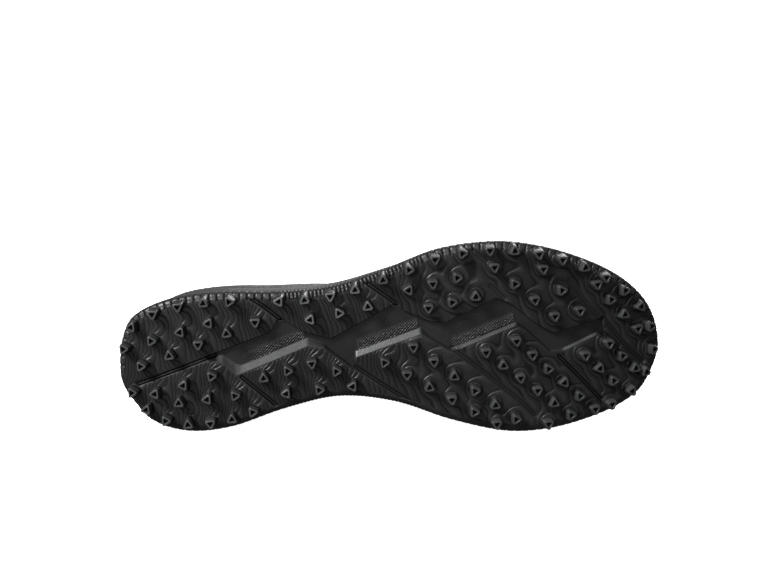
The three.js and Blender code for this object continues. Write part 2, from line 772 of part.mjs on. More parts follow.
// The value between two ends at which a rising difference changes its sign
function balance(difference, low, high) {
  for (let step = 0; step < poseSteps; step += 1) {
    const middle = (low + high) / 2;
    if (difference(middle) > 0) high = middle;
    else low = middle;
  }
  return (low + high) / 2;
}

const waist = soleLength * waistShare;
const soleCorners = [...corners.outsole, ...corners.midsole];
const heelCorners = soleCorners.filter(({ x }) => x < waist);
const ballCorners = soleCorners.filter(({ x }) => x >= waist);
let yaw = 0;
let lean = 0;
for (let round = 0; round < poseRounds; round += 1) {
  const byYaw = (angle) =>
    lowest(heelCorners, lying(angle, lean)) - lowest(ballCorners, lying(angle, lean));
  yaw = balance(byYaw, -widestTurn, widestTurn);
  const byLean = (angle) =>
    lowest(soleCorners, lying(yaw, angle)) - lowest(corners.upper, lying(yaw, angle));
  lean = balance(byLean, 0, 2 * widestTurn);
}

const pose = lying(yaw, lean);
const floorLevel = lowest(soleCorners, pose) + restFlat;
const belowFloor = new THREE.BoxGeometry(4 * soleLength, 4 * soleLength, soleLength)
  .translate(0, 0, floorLevel - soleLength / 2)
  .applyMatrix4(pose.clone().invert());
const floorCut = toSolid(belowFloor);

const shoe = new THREE.Group();
for (const [name, { solid, ...look }] of Object.entries(pieces)) {
  const mesh = new THREE.Mesh(toGeometry(solid.subtract(floorCut)), new THREE.MeshStandardMaterial(look));
  mesh.name = name;
  shoe.add(mesh);
}
shoe.quaternion.setFromRotationMatrix(pose);

// The whole stands with its lowest faces on z = 0 and the middle of its plan on the origin
const footballShoe = new THREE.Group();
footballShoe.add(shoe);
const box = new THREE.Box3().setFromObject(footballShoe, true);
const middle = box.getCenter(new THREE.Vector3());
shoe.position.set(-middle.x, -middle.y, -floorLevel);

export default footballShoe;
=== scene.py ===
import math
import bmesh
import bpy
import numpy as np
from mathutils import Matrix, Vector
from mathutils.bvhtree import BVHTree


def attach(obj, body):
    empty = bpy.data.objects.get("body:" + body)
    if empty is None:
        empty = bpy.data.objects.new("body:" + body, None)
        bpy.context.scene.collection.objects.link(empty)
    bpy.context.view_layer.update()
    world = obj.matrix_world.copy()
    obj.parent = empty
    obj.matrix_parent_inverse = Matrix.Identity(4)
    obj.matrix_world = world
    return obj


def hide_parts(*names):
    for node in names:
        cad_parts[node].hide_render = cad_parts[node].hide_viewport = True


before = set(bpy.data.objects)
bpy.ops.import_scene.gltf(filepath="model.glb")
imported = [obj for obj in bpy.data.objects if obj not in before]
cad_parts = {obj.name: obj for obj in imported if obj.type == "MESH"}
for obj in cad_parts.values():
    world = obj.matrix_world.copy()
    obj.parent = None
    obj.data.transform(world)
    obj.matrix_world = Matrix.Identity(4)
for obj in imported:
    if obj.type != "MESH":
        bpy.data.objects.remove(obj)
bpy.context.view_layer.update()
bpy.ops.object.select_all(action="DESELECT")
print("frame loaded")

millimetre = 0.001  # the shoe is measured in millimetres, the frame in metres

# The shoe's own frame, in millimetres: heel at x 0, toe along +x, inner side along +y, stud tips at z 0.
# yaw, lean and shift lay it on its inner side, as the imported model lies
shoe = {
    "soleLength": 290,
    "ballWidth": 102,
    "toeSpring": 15,
    "springStart": 0.66,
    "heelBevel": 4.5,
    "bevelEnd": 0.14,
    "studHeight": 6.5,
    "plate": 3.6,
    "heelFoam": 13,
    "featherInset": 3.6,
    "fit": 0.3,
    "floorGap": 0.05,
    "yaw": -0.0766477,
    "lean": 0.1285567,
    "shift": (-145.0268, -51.5736, 34.3665),
}

# along, then the outer and inner half width as shares of the ball width
outline = np.array([
    (0.0, -0.03, 0.03), (0.02, 0.22, 0.175), (0.05, 0.3, 0.28), (0.12, 0.36, 0.352),
    (0.2, 0.372, 0.344), (0.3, 0.352, 0.268), (0.4, 0.358, 0.225), (0.5, 0.425, 0.275),
    (0.6, 0.51, 0.393), (0.7, 0.528, 0.478), (0.78, 0.487, 0.488), (0.86, 0.4, 0.453),
    (0.92, 0.303, 0.4), (0.96, 0.203, 0.332), (0.985, 0.1, 0.23), (1.0, -0.085, 0.085),
])

# along, then the foam's thickness as a share of that at the heel
foam = np.array([
    (0.0, 0.75), (0.14, 1), (0.35, 0.93), (0.55, 0.7), (0.7, 0.56), (0.85, 0.47), (1.0, 0.36),
])


def smooth(rows, values, at):  # a smooth value through the rows of a table
    at = np.asarray(at, float)
    last = len(rows) - 1
    row = np.clip(np.searchsorted(rows, at, side="left") - 1, 0, last - 1)

    def slope(low, high):
        return (values[high] - values[low]) / (rows[high] - rows[low])

    span = rows[row + 1] - rows[row]
    s = np.clip((at - rows[row]) / span, 0, 1)
    slopeIn = slope(np.maximum(row - 1, 0), row + 1) * span
    slopeOut = slope(row, np.minimum(row + 2, last)) * span
    return ((1 + 2 * s) * (1 - s) ** 2 * values[row] + s * (1 - s) ** 2 * slopeIn
            + s * s * (3 - 2 * s) * values[row + 1] + s * s * (s - 1) * slopeOut)


def ease(value, low, high):  # 0 below low, 1 above high, smooth between
    s = np.clip((value - low) / (high - low), 0, 1)
    return s * s * (3 - 2 * s)


def between(value, start, full, fade, end):  # 1 from full to fade, 0 before start and after end
    return ease(value, start, full) * (1 - ease(value, fade, end))


def rise(x):  # how far the sole curls up at toe and heel
    along = x / shoe["soleLength"]
    toe = np.maximum(0, (along - shoe["springStart"]) / (1 - shoe["springStart"]))
    heel = np.maximum(0, (shoe["bevelEnd"] - along) / shoe["bevelEnd"])
    return shoe["toeSpring"] * toe ** 2 + shoe["heelBevel"] * heel ** 2


def faceHeight(x):
    return shoe["studHeight"] + rise(x)


def trayHeight(x):
    return faceHeight(x) + shoe["plate"]


def footbedHeight(x):
    share = np.clip(x / shoe["soleLength"], 0, 1)
    return trayHeight(x) + shoe["heelFoam"] * smooth(foam[:, 0], foam[:, 1], share)


outlineTurns = np.arccos(1 - 2 * outline[:, 0])


def isOuter(turn):
    return np.mod(turn, 2 * math.pi) <= math.pi


def onOutline(turn):  # the sole's edge: turn 0 at the heel, by the outer side to pi at the toe, and back
    half = np.arccos(np.clip(np.cos(turn), -1, 1))
    outer = smooth(outlineTurns, outline[:, 1], half)
    inner = smooth(outlineTurns, outline[:, 2], half)
    y = np.where(isOuter(turn), -outer, inner) * shoe["ballWidth"]
    return np.stack([shoe["soleLength"] * (1 - np.cos(half)) / 2, y], -1)


def edgePoint(turn, inset):  # a point at an inset from the sole's edge
    tangent = onOutline(turn + 0.01) - onOutline(turn - 0.01)
    tangent /= np.linalg.norm(tangent, axis=-1, keepdims=True)
    inward = np.stack([-tangent[..., 1], tangent[..., 0]], -1)
    return onOutline(turn) + inward * np.asarray(inset, float)[..., None]


def evenTurns(count):  # turns from heel to toe, spaced evenly along the edge
    fine = np.linspace(0, math.pi, 4001)
    steps = [np.linalg.norm(np.diff(onOutline(side * fine), axis=0), axis=1) for side in (1, -1)]
    travel = np.concatenate([[0], np.cumsum(sum(steps) / 2)])
    return np.interp(np.linspace(0, travel[-1], count), travel, fine)


lying = (Matrix.Translation(Vector(shoe["shift"]))
         @ Matrix.Rotation(-math.pi / 2 - shoe["lean"], 4, "X")
         @ Matrix.Rotation(shoe["yaw"], 4, "Z"))
toMetres = Matrix.Scale(millimetre, 4) @ lying


def toWorld(points):
    turn = np.array(toMetres.to_3x3())
    return points @ turn.T + np.array(toMetres.translation)


def gridPiece(name, points, place=toWorld):  # a grid primitive drawn over rows and columns of points
    rows, columns = points.shape[:2]
    bpy.ops.mesh.primitive_grid_add(x_subdivisions=columns - 1, y_subdivisions=rows - 1, size=1)
    piece = bpy.context.object
    piece.name = piece.data.name = name
    piece.data.vertices.foreach_set("co", place(points.reshape(-1, 3)).ravel())
    piece.data.uv_layers[0].name = "weaveMap"
    return piece


def vertexMark(piece, name, values):  # a number at each vertex, for the finish
    mark = piece.data.attributes.new(name, "FLOAT", "POINT")
    mark.data.foreach_set("value", np.asarray(values, float).ravel())


def soleMap(piece):  # the place in the shoe's own frame, in millimetres
    spots = np.zeros(len(piece.data.vertices) * 3)
    piece.data.vertices.foreach_get("co", spots)
    back = toMetres.inverted()
    spots = spots.reshape(-1, 3) @ np.array(back.to_3x3()).T + np.array(back.translation)
    marks = piece.data.attributes
    mark = marks.get("inShoe") or marks.new("inShoe", "FLOAT_VECTOR", "POINT")
    mark.data.foreach_set("vector", spots.ravel())


def weld(piece, reach, outwards=True):  # closes seams and poles, and turns the faces outwards
    bpy.ops.object.select_all(action="DESELECT")
    piece.select_set(True)
    bpy.context.view_layer.objects.active = piece
    bpy.ops.object.mode_set(mode="EDIT")
    bpy.ops.mesh.select_all(action="SELECT")
    bpy.ops.mesh.remove_doubles(threshold=reach)
    if outwards:
        bpy.ops.mesh.normals_make_consistent(inside=False)
    bpy.ops.object.mode_set(mode="OBJECT")


def restOnFloor(piece):  # flattens what would sink into the floor that the shoe lies on
    for vertex in piece.data.vertices:
        vertex.co.z = max(vertex.co.z, shoe["floorGap"] * millimetre)


def smoothShade(piece, angle):
    bpy.ops.object.select_all(action="DESELECT")
    piece.select_set(True)
    bpy.context.view_layer.objects.active = piece
    bpy.ops.object.shade_smooth_by_angle(angle=math.radians(angle))


def finishPiece(piece, material, slotName, *nodes):
    if material:
        piece.data.materials.clear()
        piece.data.materials.append(material)
    soleMap(piece)
    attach(piece, "root")
    if nodes:
        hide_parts(*nodes)


# Materials
class Wire:  # a node's output that can be reckoned with
    def __init__(self, finish, socket):
        self.finish = finish
        self.socket = socket

    def reckon(self, operation, *values):
        return self.finish.node("Math", {"operation": operation}, dict(enumerate(values)))

    def __add__(self, other):
        return self.reckon("ADD", self, other)

    __radd__ = __add__

    def __mul__(self, other):
        return self.reckon("MULTIPLY", self, other)

    __rmul__ = __mul__

    def __sub__(self, other):
        return self.reckon("SUBTRACT", self, other)

    def __rsub__(self, other):
        return self.reckon("SUBTRACT", other, self)

    def band(self, low, high):  # 0 below low, 1 above high
        settings = {"interpolation_type": "SMOOTHSTEP"}
        return self.finish.node("MapRange", settings, {"Value": self, "From Min": low, "From Max": high})

    def between(self, start, full, fade, end):  # 1 from full to fade, 0 before start and after end
        return self.band(start, full) * (1 - self.band(fade, end))


class Finish:
    def __init__(self, name):
        self.material = bpy.data.materials.new(name)
        self.material.use_nodes = True
        self.tree = self.material.node_tree
        self.tree.nodes.clear()

    def node(self, kind, settings=None, inputs=None, output=0):
        made = self.tree.nodes.new("ShaderNode" + kind)
        for key, value in (settings or {}).items():
            setattr(made, key, value)
        for key, value in (inputs or {}).items():
            if isinstance(value, Wire):
                self.tree.links.new(value.socket, made.inputs[key])
            else:
                made.inputs[key].default_value = value
        return Wire(self, made.outputs[output]) if made.outputs else None

    def mark(self, name, output="Fac"):
        return self.node("Attribute", {"attribute_name": name}, output=output)

    def mix(self, factor, low, high):
        return self.node("Mix", {"data_type": "RGBA"}, {0: factor, 6: low, 7: high}, output=2)

    def noise(self, place, scale, detail):
        return self.node("TexNoise", None, {"Vector": place, "Scale": scale, "Detail": detail})

    def mottled(self, cloud, dark, pale):  # a tone that drifts between two
        return self.mix(cloud.band(0.35, 0.7), cool(dark), cool(pale))

    def bump(self, height):  # height in millimetres
        return self.node("Bump", None, {"Height": height, "Distance": millimetre, "Strength": 1.0})

    def surface(self, **inputs):
        shader = self.node("BsdfPrincipled", None, {key.replace("_", " "): value
                                                    for key, value in inputs.items()})
        self.node("OutputMaterial", None, {"Surface": shader})
        return self.material


def grey(tone, tint=0.0):
    return (tone, tone * (1 + tint / 2), tone * (1 + tint), 1)


def cool(tone):  # a black or grey that leans a little to blue
    return grey(tone, 0.03)


# Rubber: its tones and grain, a paler tone for rim wear and painted highlights, and a near black for
# painted shade in slits, step feet, hollows and notches
rubber = {
    "tone": 0.0085,
    "paleTone": 0.014,
    "wearAndHighlightTone": 0.085,
    "paintedShadeTone": 0.002,
    "roughness": 0.4,
    "cloudScale": 0.05,
    "grainPitch": 0.9,
    "grainDepth": 0.05,
    "stepHeight": 0.34,
    "stepEdge": (0.36, 0.64),
    "stepFoot": (0.16, 0.34, 0.38, 0.52),
    "stepLip": (0.5, 0.64, 0.72, 0.9),
    "slitEdge": (0.9, 1.3),
    "slitRidge": (0.16, 0.4),
    "slitDepth": 0.15,
    "bevelRise": (-0.02, 0.1, 0.95, 1.05),
    "bevelLight": 0.32,
    "flankLight": 0.16,
    "lipLight": 0.1,
    "hatchLight": 0.07,
    "hatchScale": 0.42,
    "hatchDepth": 0.16,
    "dotScale": 0.9,
    "dotDepth": 0.2,
    "wearAndHighlightGrain": 0.6,
    "slitDark": 0.9,
    "footDark": 0.55,
    "grainDull": 0.16,
    "slitDull": 0.5,
    "shadeDull": 0.4,
    "flankDull": 0.2,
    "bevelGloss": 0.08,
    "slitMatt": 0.85,
    "footMatt": 0.3,
}


def rubberFinish():
    finish = Finish("mouldedRubber")
    place = finish.mark("inShoe", "Vector")
    cloud = finish.noise(place, rubber["cloudScale"], 3.0)
    grain = finish.noise(place, 1 / rubber["grainPitch"], 4.0)
    contour, stepped = finish.mark("contour"), finish.mark("stepped")
    part = contour.reckon("FRACT", contour)
    step = (part.band(*rubber["stepEdge"]) - part) * stepped  # turns the even slope into terraces
    # painted shade along the foot of each step, and a painted highlight along its lip
    foot = part.between(*rubber["stepFoot"]) * stepped
    lip = part.between(*rubber["stepLip"]) * stepped
    slitSide = finish.mark("slitSide")
    # the slits' grooves: a bump and painted shade, both as strong as each slit's darkness
    nearSlit = (1 - finish.mark("slitFar").band(*rubber["slitEdge"])) * finish.mark("slitDark")
    groove = nearSlit * slitSide.reckon("ABSOLUTE", slitSide).band(*rubber["slitRidge"])
    hatch = finish.mark("hatch")
    spacing = {"Vector": place, "Scale": rubber["hatchScale"], "Distortion": 0.6, "Detail Scale": 2.0}
    lines = finish.node("TexWave", {"wave_type": "BANDS", "bands_direction": "DIAGONAL"}, spacing)
    dots = finish.node("TexVoronoi", None, {"Vector": place, "Scale": rubber["dotScale"]})
    relief = step * rubber["stepHeight"] + grain * rubber["grainDepth"] - groove * rubber["slitDepth"]
    bumped = finish.bump(relief + (lines * rubber["hatchDepth"] + dots * rubber["dotDepth"]) * hatch)
    # painted light on the slants of the channel's inner side
    bevel = finish.mark("bevelRise").between(*rubber["bevelRise"]) * finish.mark("bevelled")
    # the shade mark is painted shade in the studs' hollows and in the outer edge's notched rows
    flank, dark = finish.mark("flank"), finish.mark("shade")
    # a paler tone: wear and a painted highlight on the stud rims, a painted highlight on the outer edge,
    # painted light on the channel's slants, the stud flanks and the step lips, and the hatch's pale lines
    light = (finish.mark("wearAndHighlight") * finish.mark("rubbedAndLit") + bevel * rubber["bevelLight"]
             + flank * rubber["flankLight"] + lip * rubber["lipLight"]
             + hatch * lines * rubber["hatchLight"])
    tone = finish.mottled(cloud, rubber["tone"], rubber["paleTone"])
    tone = finish.mix(light * (1 + (grain - 0.5) * rubber["wearAndHighlightGrain"]), tone, cool(rubber["wearAndHighlightTone"]))
    # painted shade: near black in the slits, along each step's foot, and in the hollows and notches
    paintedShade = groove * rubber["slitDark"] + foot * rubber["footDark"] + dark
    tone = finish.mix(paintedShade, tone, grey(rubber["paintedShadeTone"]))
    rough = (rubber["roughness"] + (grain - 0.5) * rubber["grainDull"] + groove * rubber["slitDull"]
             + dark * rubber["shadeDull"] + flank * rubber["flankDull"] - bevel * rubber["bevelGloss"])
    # a metal of a black colour has no shine, which keeps slits, hollows and step feet dark: painted shade
    matt = groove.reckon("MAXIMUM", groove, dark) * rubber["slitMatt"] + foot * rubber["footMatt"]
    return finish.surface(Base_Color=tone, Roughness=rough, Metallic=matt, Normal=bumped, IOR=1.42)


def foamFinish(name, tone, roughness, pitch, depth):
    finish = Finish(name)
    place = finish.mark("inShoe", "Vector")
    grain = finish.node("TexVoronoi", {"feature": "SMOOTH_F1"}, {"Vector": place, "Scale": 1 / pitch})
    cloud = finish.noise(place, 0.06, 4.0)
    colour = finish.mottled(cloud, tone * 0.8, tone * 1.25)
    rough = roughness + (cloud - 0.5) * 0.2
    return finish.surface(Base_Color=colour, Roughness=rough, Normal=finish.bump(grain * depth))


wavePeriod = 0.314  # what one line of a wave texture of scale 1 spans


def clothFinish(name, tone, pitch, depth, sheen):
    finish = Finish(name)
    place = finish.mark("inShoe", "Vector")
    spacing = {"Vector": place, "Scale": wavePeriod / pitch}
    across = finish.node("TexWave", {"bands_direction": "X"}, spacing)
    along = finish.node("TexWave", {"bands_direction": "Y"}, spacing)
    knit = across * along
    cloud = finish.noise(place, 0.05, 4.0)
    colour = finish.mix(knit.band(0.1, 0.8) * 0.5 + cloud * 0.5, cool(tone * 0.6), cool(tone * 1.2))
    relief = finish.bump(knit * depth + cloud * 0.1)
    return finish.surface(Base_Color=colour, Roughness=0.88, Normal=relief, Sheen_Weight=sheen,
                          Sheen_Roughness=0.5)


synthetic = {
    "tone": 0.013,
    "paleTone": 0.022,
    "overlayTone": 0.01,
    "roughness": 0.52,
    "coat": 0.08,
    "cloudScale": 0.03,
    "pebbleScale": 0.75,
    "pebbleDepth": 0.16,
    "poreScale": 1.6,
    "poreDepth": 0.05,
    "overlaySmooth": 0.09,
    "overlayGloss": 0.12,
    "overlayCoat": 0.14,
    "overlayShare": 0.6,
    "cloudDull": 0.18,
}


def upperFinish():  # a grained synthetic, with smoother and glossier overlays
    finish = Finish("grainedSynthetic")
    place = finish.mark("inShoe", "Vector")
    overlay = finish.mark("overlay").band(0.2, 0.8)
    pebble = finish.node("TexVoronoi", {"feature": "SMOOTH_F1"},
                         {"Vector": place, "Scale": synthetic["pebbleScale"]})
    pores = finish.noise(place, synthetic["poreScale"], 5.0)
    cloud = finish.noise(place, synthetic["cloudScale"], 5.0)
    relief = pebble * (synthetic["pebbleDepth"] - overlay * synthetic["overlaySmooth"])
    relief = relief + pores * synthetic["poreDepth"]
    colour = finish.mottled(cloud, synthetic["tone"], synthetic["paleTone"])
    colour = finish.mix(overlay * synthetic["overlayShare"], colour, cool(synthetic["overlayTone"]))
    rough = synthetic["roughness"] - overlay * synthetic["overlayGloss"]
    rough = rough + (cloud - 0.5) * synthetic["cloudDull"]
    coat = synthetic["coat"] + overlay * synthetic["overlayCoat"]
    return finish.surface(Base_Color=colour, Roughness=rough, Coat_Weight=coat, Coat_Roughness=0.32,
                          Normal=finish.bump(relief))


rubberMaterial = rubberFinish()
foamMaterial = foamFinish("midsoleFoam", tone=0.012, roughness=0.72, pitch=0.5, depth=0.12)
upperMaterial = upperFinish()
liningMaterial = clothFinish("knittedLining", tone=0.03, pitch=1.7, depth=0.14, sheen=0.2)
insoleMaterial = clothFinish("insoleTextile", tone=0.05, pitch=1.5, depth=0.1, sheen=0.15)
laceMaterial = clothFinish("wovenLace", tone=0.035, pitch=0.8, depth=0.15, sheen=0.2)
threadMaterial = clothFinish("seamThread", tone=0.05, pitch=0.3, depth=0.05, sheen=0.3)
print("materials made")

# Tread: the rubber plate's face with its blocks, channel, slits and contour steps, and its notched side.
# A pair is where something starts and is full, and of four the last two are where it fades and ends
tread = {
    "rows": 500,
    "faceColumns": (58, 2, 22, 10, 58),  # outer blocks, wall, channel's floor, slope and inner blocks
    "roundColumns": 7,
    "sideColumns": 5,
    "trayColumns": 5,
    "edgeRound": 3,
    "rimHeight": 7,
    "rimWall": 2,
    "rimDraft": 0.2,
    "rimBevel": (0.5, 0.3),
    "channelDepth": 1.8,
    "channelWall": 0.6,
    "channelPlain": (0, 0.12),
    "besidePlain": (0.4, 1.6),
    "runIn": (24, 2, 2, 16),
    "slitReach": 1.5,
    "slitCore": 0.4,
    "slitDepth": 0.3,
    "slitPlain": (1.2, 2.6),
    "noSlit": 4.0,
    "studSwell": 2.4,
    "studReach": 4.8,
    "studInset": 4.2,
    "toeStudInset": 1.6,
    "toeStudRun": (246, 282),
    "closeSteps": 0.42,
    "fewSteps": 0.09,
    "closeUntil": (120, 180),
    "notchRows": 6,
    "notchDepth": 0.55,
    "sideNotch": 0.22,
    "topNotch": 0.6,
    "notchReach": 5.5,
    "notchWaist": (0.3, 0.56),
    # the outer edge gets a painted highlight, and its notched rows painted shade
    "edgeReach": (0.5, 2.6),
    "edgePaintedHighlight": 0.2,
    "notchShade": 0.8,
    "rubbedAndLit": 0.5,
    "bevelProbe": 1.5,
    "bevelDrop": (0.1, 0.4, 1.0, 1.8),
    "bevelStart": (66, 69),
    "bevelStop": (3, 2),
    # more painted light on a facet near the heel and on the last slants
    "heelFacet": 0.35,
    "heelFacetRun": (53, 56, 62, 64),
    "lastBevel": 0.6,
    "lastBevelRun": (215, 225),
    "hatchReach": (-6.5, -3.5),
    "hatchRun": (62, 78, 212, 216),
}

# along and across, as shares of length and ball width: the channel's outer edge at its floor
channelOuter = np.array([
    (0.165, -0.041), (0.285, -0.143), (0.3, -0.205), (0.311, -0.208), (0.341, -0.136), (0.395, -0.085),
    (0.515, -0.245), (0.529, -0.203), (0.573, -0.139), (0.601, -0.122), (0.697, -0.231), (0.723, -0.197),
    (0.767, -0.08), (0.798, -0.022), (0.893, -0.076),
])
channelEnds = channelOuter[[0, -1], 0] * shoe["soleLength"]

# along, across, and the width of the slope up to the inner blocks
channelInner = np.array([
    (0.165, -0.03, 0.004), (0.193, -0.045, 0.044), (0.217, 0.01, 0.06), (0.225, 0.019, 0.042),
    (0.351, -0.101, 0.042), (0.38, -0.062, 0.02), (0.428, 0.064, 0.012), (0.436, -0.011, 0.031),
    (0.558, -0.109, 0.031), (0.571, -0.068, 0.016), (0.608, 0.011, 0.01), (0.627, -0.001, 0.016),
    (0.732, -0.101, 0.016), (0.748, -0.064, 0.01), (0.791, 0.063, 0.01), (0.813, 0.065, 0.012),
    (0.884, -0.008, 0.012), (0.893, 0.023, 0.01),
])

# how dark the slit's painted shade is, which also sets its bump, then the corners along and across
slits = [
    (1.0, [(0.034, 0.081), (0.104, 0.02), (0.18, -0.045)]),
    (1.0, [(0.226, 0.08), (0.262, 0.18), (0.29, 0.262)]),
    (1.0, [(0.222, -0.39), (0.268, -0.305), (0.305, -0.212)]),
    (0.8, [(0.434, 0.068), (0.49, 0.193), (0.54, 0.302)]),
    (0.9, [(0.451, -0.4), (0.485, -0.322), (0.517, -0.244)]),
    (0.6, [(0.612, 0.01), (0.667, 0.15), (0.728, 0.313), (0.756, 0.4)]),
    (0.4, [(0.65, -0.52), (0.687, -0.414), (0.726, -0.283)]),
    (0.4, [(0.689, -0.3), (0.712, -0.23)]),
    (1.0, [(0.806, 0.1), (0.85, 0.247), (0.885, 0.37)]),
    (0.4, [(0.832, -0.295), (0.854, -0.2), (0.872, -0.127), (0.889, -0.07)]),
    (0.7, [(0.893, -0.076), (0.93, 0.07), (0.964, 0.18)]),
    (0.7, [(0.893, 0.01), (0.92, 0.08)]),
]

# Rows of studs between two places, or along the rim from one share of its length to another, where a
# minus marks the outer side. Each letter turns one stud's point: heelwards, toewards, outwards, inwards
studRows = [
    {"rim": (-0.03, -0.22), "points": "hiiot"},
    {"from": (0.022, -0.12), "to": (0.178, -0.225), "points": "tthh"},
    {"from": (0.05, -0.025), "to": (0.262, -0.212), "points": "toioi"},
    {"rim": (0.012, 0.248), "inset": 5.6, "points": "thtoiot"},
    {"from": (0.07, 0.125), "to": (0.174, 0.052), "points": "hht"},
    {"from": (0.111, 0.18), "to": (0.213, 0.163), "points": "oht"},
    {"rim": (-0.308, -0.442), "points": "hoio"},
    {"from": (0.361, -0.205), "to": (0.466, -0.25), "points": "hto"},
    {"from": (0.268, 0.082), "to": (0.357, 0.025), "points": "oti"},
    {"from": (0.4, 0.075), "to": (0.4, 0.075), "points": "t"},
    {"from": (0.306, 0.172), "to": (0.427, 0.16), "points": "hth"},
    {"rim": (-0.493, -0.64), "points": "otit"},
    {"from": (0.541, -0.318), "to": (0.629, -0.362), "points": "hit"},
    {"from": (0.574, -0.217), "to": (0.66, -0.258), "points": "ito"},
    {"from": (0.542, -0.02), "to": (0.718, 0.4), "points": "iiotot"},
    {"from": (0.488, 0.048), "to": (0.683, 0.418), "points": "tioiti"},
    {"rim": (-0.69, 0.9), "points": "ioiioithttohi"},
    {"from": (0.696, -0.4), "to": (0.798, -0.12), "points": "itii"},
    {"from": (0.782, -0.369), "to": (0.844, -0.135), "points": "iti"},
    {"from": (0.727, -0.01), "to": (0.863, 0.392), "points": "iithti"},
    {"from": (0.672, 0.036), "to": (0.818, 0.408), "points": "ioiiot"},
    {"from": (0.776, 0.442), "to": (0.776, 0.442), "points": "i"},
    {"from": (0.878, -0.262), "to": (0.95, -0.006), "points": "itoi"},
    {"from": (0.895, 0.054), "to": (0.942, 0.2), "points": "ito"},
    {"from": (0.85, 0.102), "to": (0.9, 0.252), "points": "iht"},
]


def inPlan(rows):  # shares of length and ball width to millimetres
    return np.asarray(rows, float)[:, :2] * (shoe["soleLength"], shoe["ballWidth"])


def rimTurn(share):
    half = math.acos(1 - 2 * abs(share))
    return half if share < 0 else 2 * math.pi - half


def alongPath(path, count):  # points spaced evenly along a path
    travel = np.concatenate([[0], np.cumsum(np.linalg.norm(np.diff(path, axis=0), axis=1))])
    at = np.linspace(0, travel[-1], count)
    return np.stack([np.interp(at, travel, path[:, axis]) for axis in range(path.shape[1])], -1)


def studPlaces():
    places = []
    for row in studRows:
        count = len(row["points"])
        if "rim" in row:
            turns = np.linspace(rimTurn(row["rim"][0]), rimTurn(row["rim"][1]), 200)
            atToe = ease(onOutline(turns)[:, 0], *tread["toeStudRun"])
            inset = row.get("inset", tread["studInset"]) + tread["toeStudInset"] * atToe
            spots = alongPath(edgePoint(turns, inset), count)
        else:
            spots = np.linspace(*inPlan([row["from"], row["to"]]), count)
        places += [(x, y, letter) for (x, y), letter in zip(spots, row["points"])]
    return places


def distanceTo(points, path):  # distance from each point to a path of straight pieces
    best = np.full(len(points), 1e9)
    for start, end in zip(path[:-1], path[1:]):
        along = end - start
        share = np.clip((points - start) @ along / (along @ along), 0, 1)
        foot = start + share[:, None] * along
        best = np.minimum(best, np.linalg.norm(points - foot, axis=1))
    return best


def softPath(corners, steps=12):  # a slit's corners as a smooth path
    corners = inPlan(corners)
    rows = np.arange(len(corners), dtype=float)
    at = np.linspace(0, rows[-1], steps * (len(corners) - 1) + 1)
    return np.stack([smooth(rows, corners[:, axis], at) for axis in (0, 1)], -1)


def channelAt(x):  # the channel's edges at x: outer floor, inner floor, inner top
    along = x / shoe["soleLength"]
    outer = np.interp(along, channelOuter[:, 0], channelOuter[:, 1]) * shoe["ballWidth"]
    inner = np.interp(along, channelInner[:, 0], channelInner[:, 1]) * shoe["ballWidth"]
    slope = np.interp(along, channelInner[:, 0], channelInner[:, 2]) * shoe["ballWidth"]
    return outer, inner, inner + slope


def channelShare(x, y):  # 1 on the channel's floor, 0 outside it
    outer, inner, top = channelAt(x)
    byOuter = np.clip((y - outer) / tread["channelWall"] + 1, 0, 1)
    byInner = np.clip((top - y) / (top - inner), 0, 1)
    byEnds = np.clip(np.minimum(x - channelEnds[0], channelEnds[1] - x) / tread["channelWall"], 0, 1)
    return np.minimum(np.minimum(byOuter, byInner), byEnds)


slitPaths = [(strength, softPath(corners)) for strength, corners in slits]
places = studPlaces()


def faceShares(outerEdge, innerEdge):  # where the columns stand in each row, some on the channel's edges
    span = innerEdge - outerEdge
    share = np.full((len(span), 4), 0.5)
    for _ in range(4):  # the edges slant, so each try starts from the last one's place
        x = outerEdge[:, :1] + share * span[:, :1]
        outer, inner, top = channelAt(x)
        lines = np.stack([outer[:, 0] - tread["channelWall"], outer[:, 1], inner[:, 2], top[:, 3]], 1)
        share = (lines - outerEdge[:, 1:2]) / np.maximum(span[:, 1:2], 0.001)
    stops = np.cumsum((0,) + tread["faceColumns"])
    at = np.arange(1, stops[-1])
    known = np.concatenate([np.zeros((len(share), 1)), share, np.ones((len(share), 1))], 1)
    along = np.array([np.interp(at, stops, row) for row in known])
    middle = outerEdge[:, 0] + span[:, 0] / 2
    limits = np.repeat(channelEnds, 2) + np.array(tread["runIn"]) * (-1, -1, 1, 1)
    near = between(middle, *limits)[:, None]
    return along * near + at / stops[-1] * (1 - near)


def stepsAlong(x, y):  # how many steps lie between the heel and a place, closer together at the heel
    # two slow waves keep the steps from running straight
    warp = 1.3 * np.sin(y / 8 + 0.8 * np.sin(x / 17)) + 1.5 * np.sin(x / 11 + y / 23)
    fine = np.linspace(-20, shoe["soleLength"] + 20, 1200)
    fewer = ease(fine, *tread["closeUntil"])
    close = tread["closeSteps"] + (tread["fewSteps"] - tread["closeSteps"]) * fewer
    count = np.cumsum(close) * (fine[1] - fine[0])
    return np.interp(x + warp, fine, count)


def moundAt(x, y):  # how many steps high the face stands round the studs
    height = np.zeros(np.shape(x))
    for studX, studY, _ in places:
        squared = (x - studX) ** 2 + (y - studY) ** 2
        height += tread["studSwell"] * np.exp(-squared / tread["studReach"] ** 2)
    return height


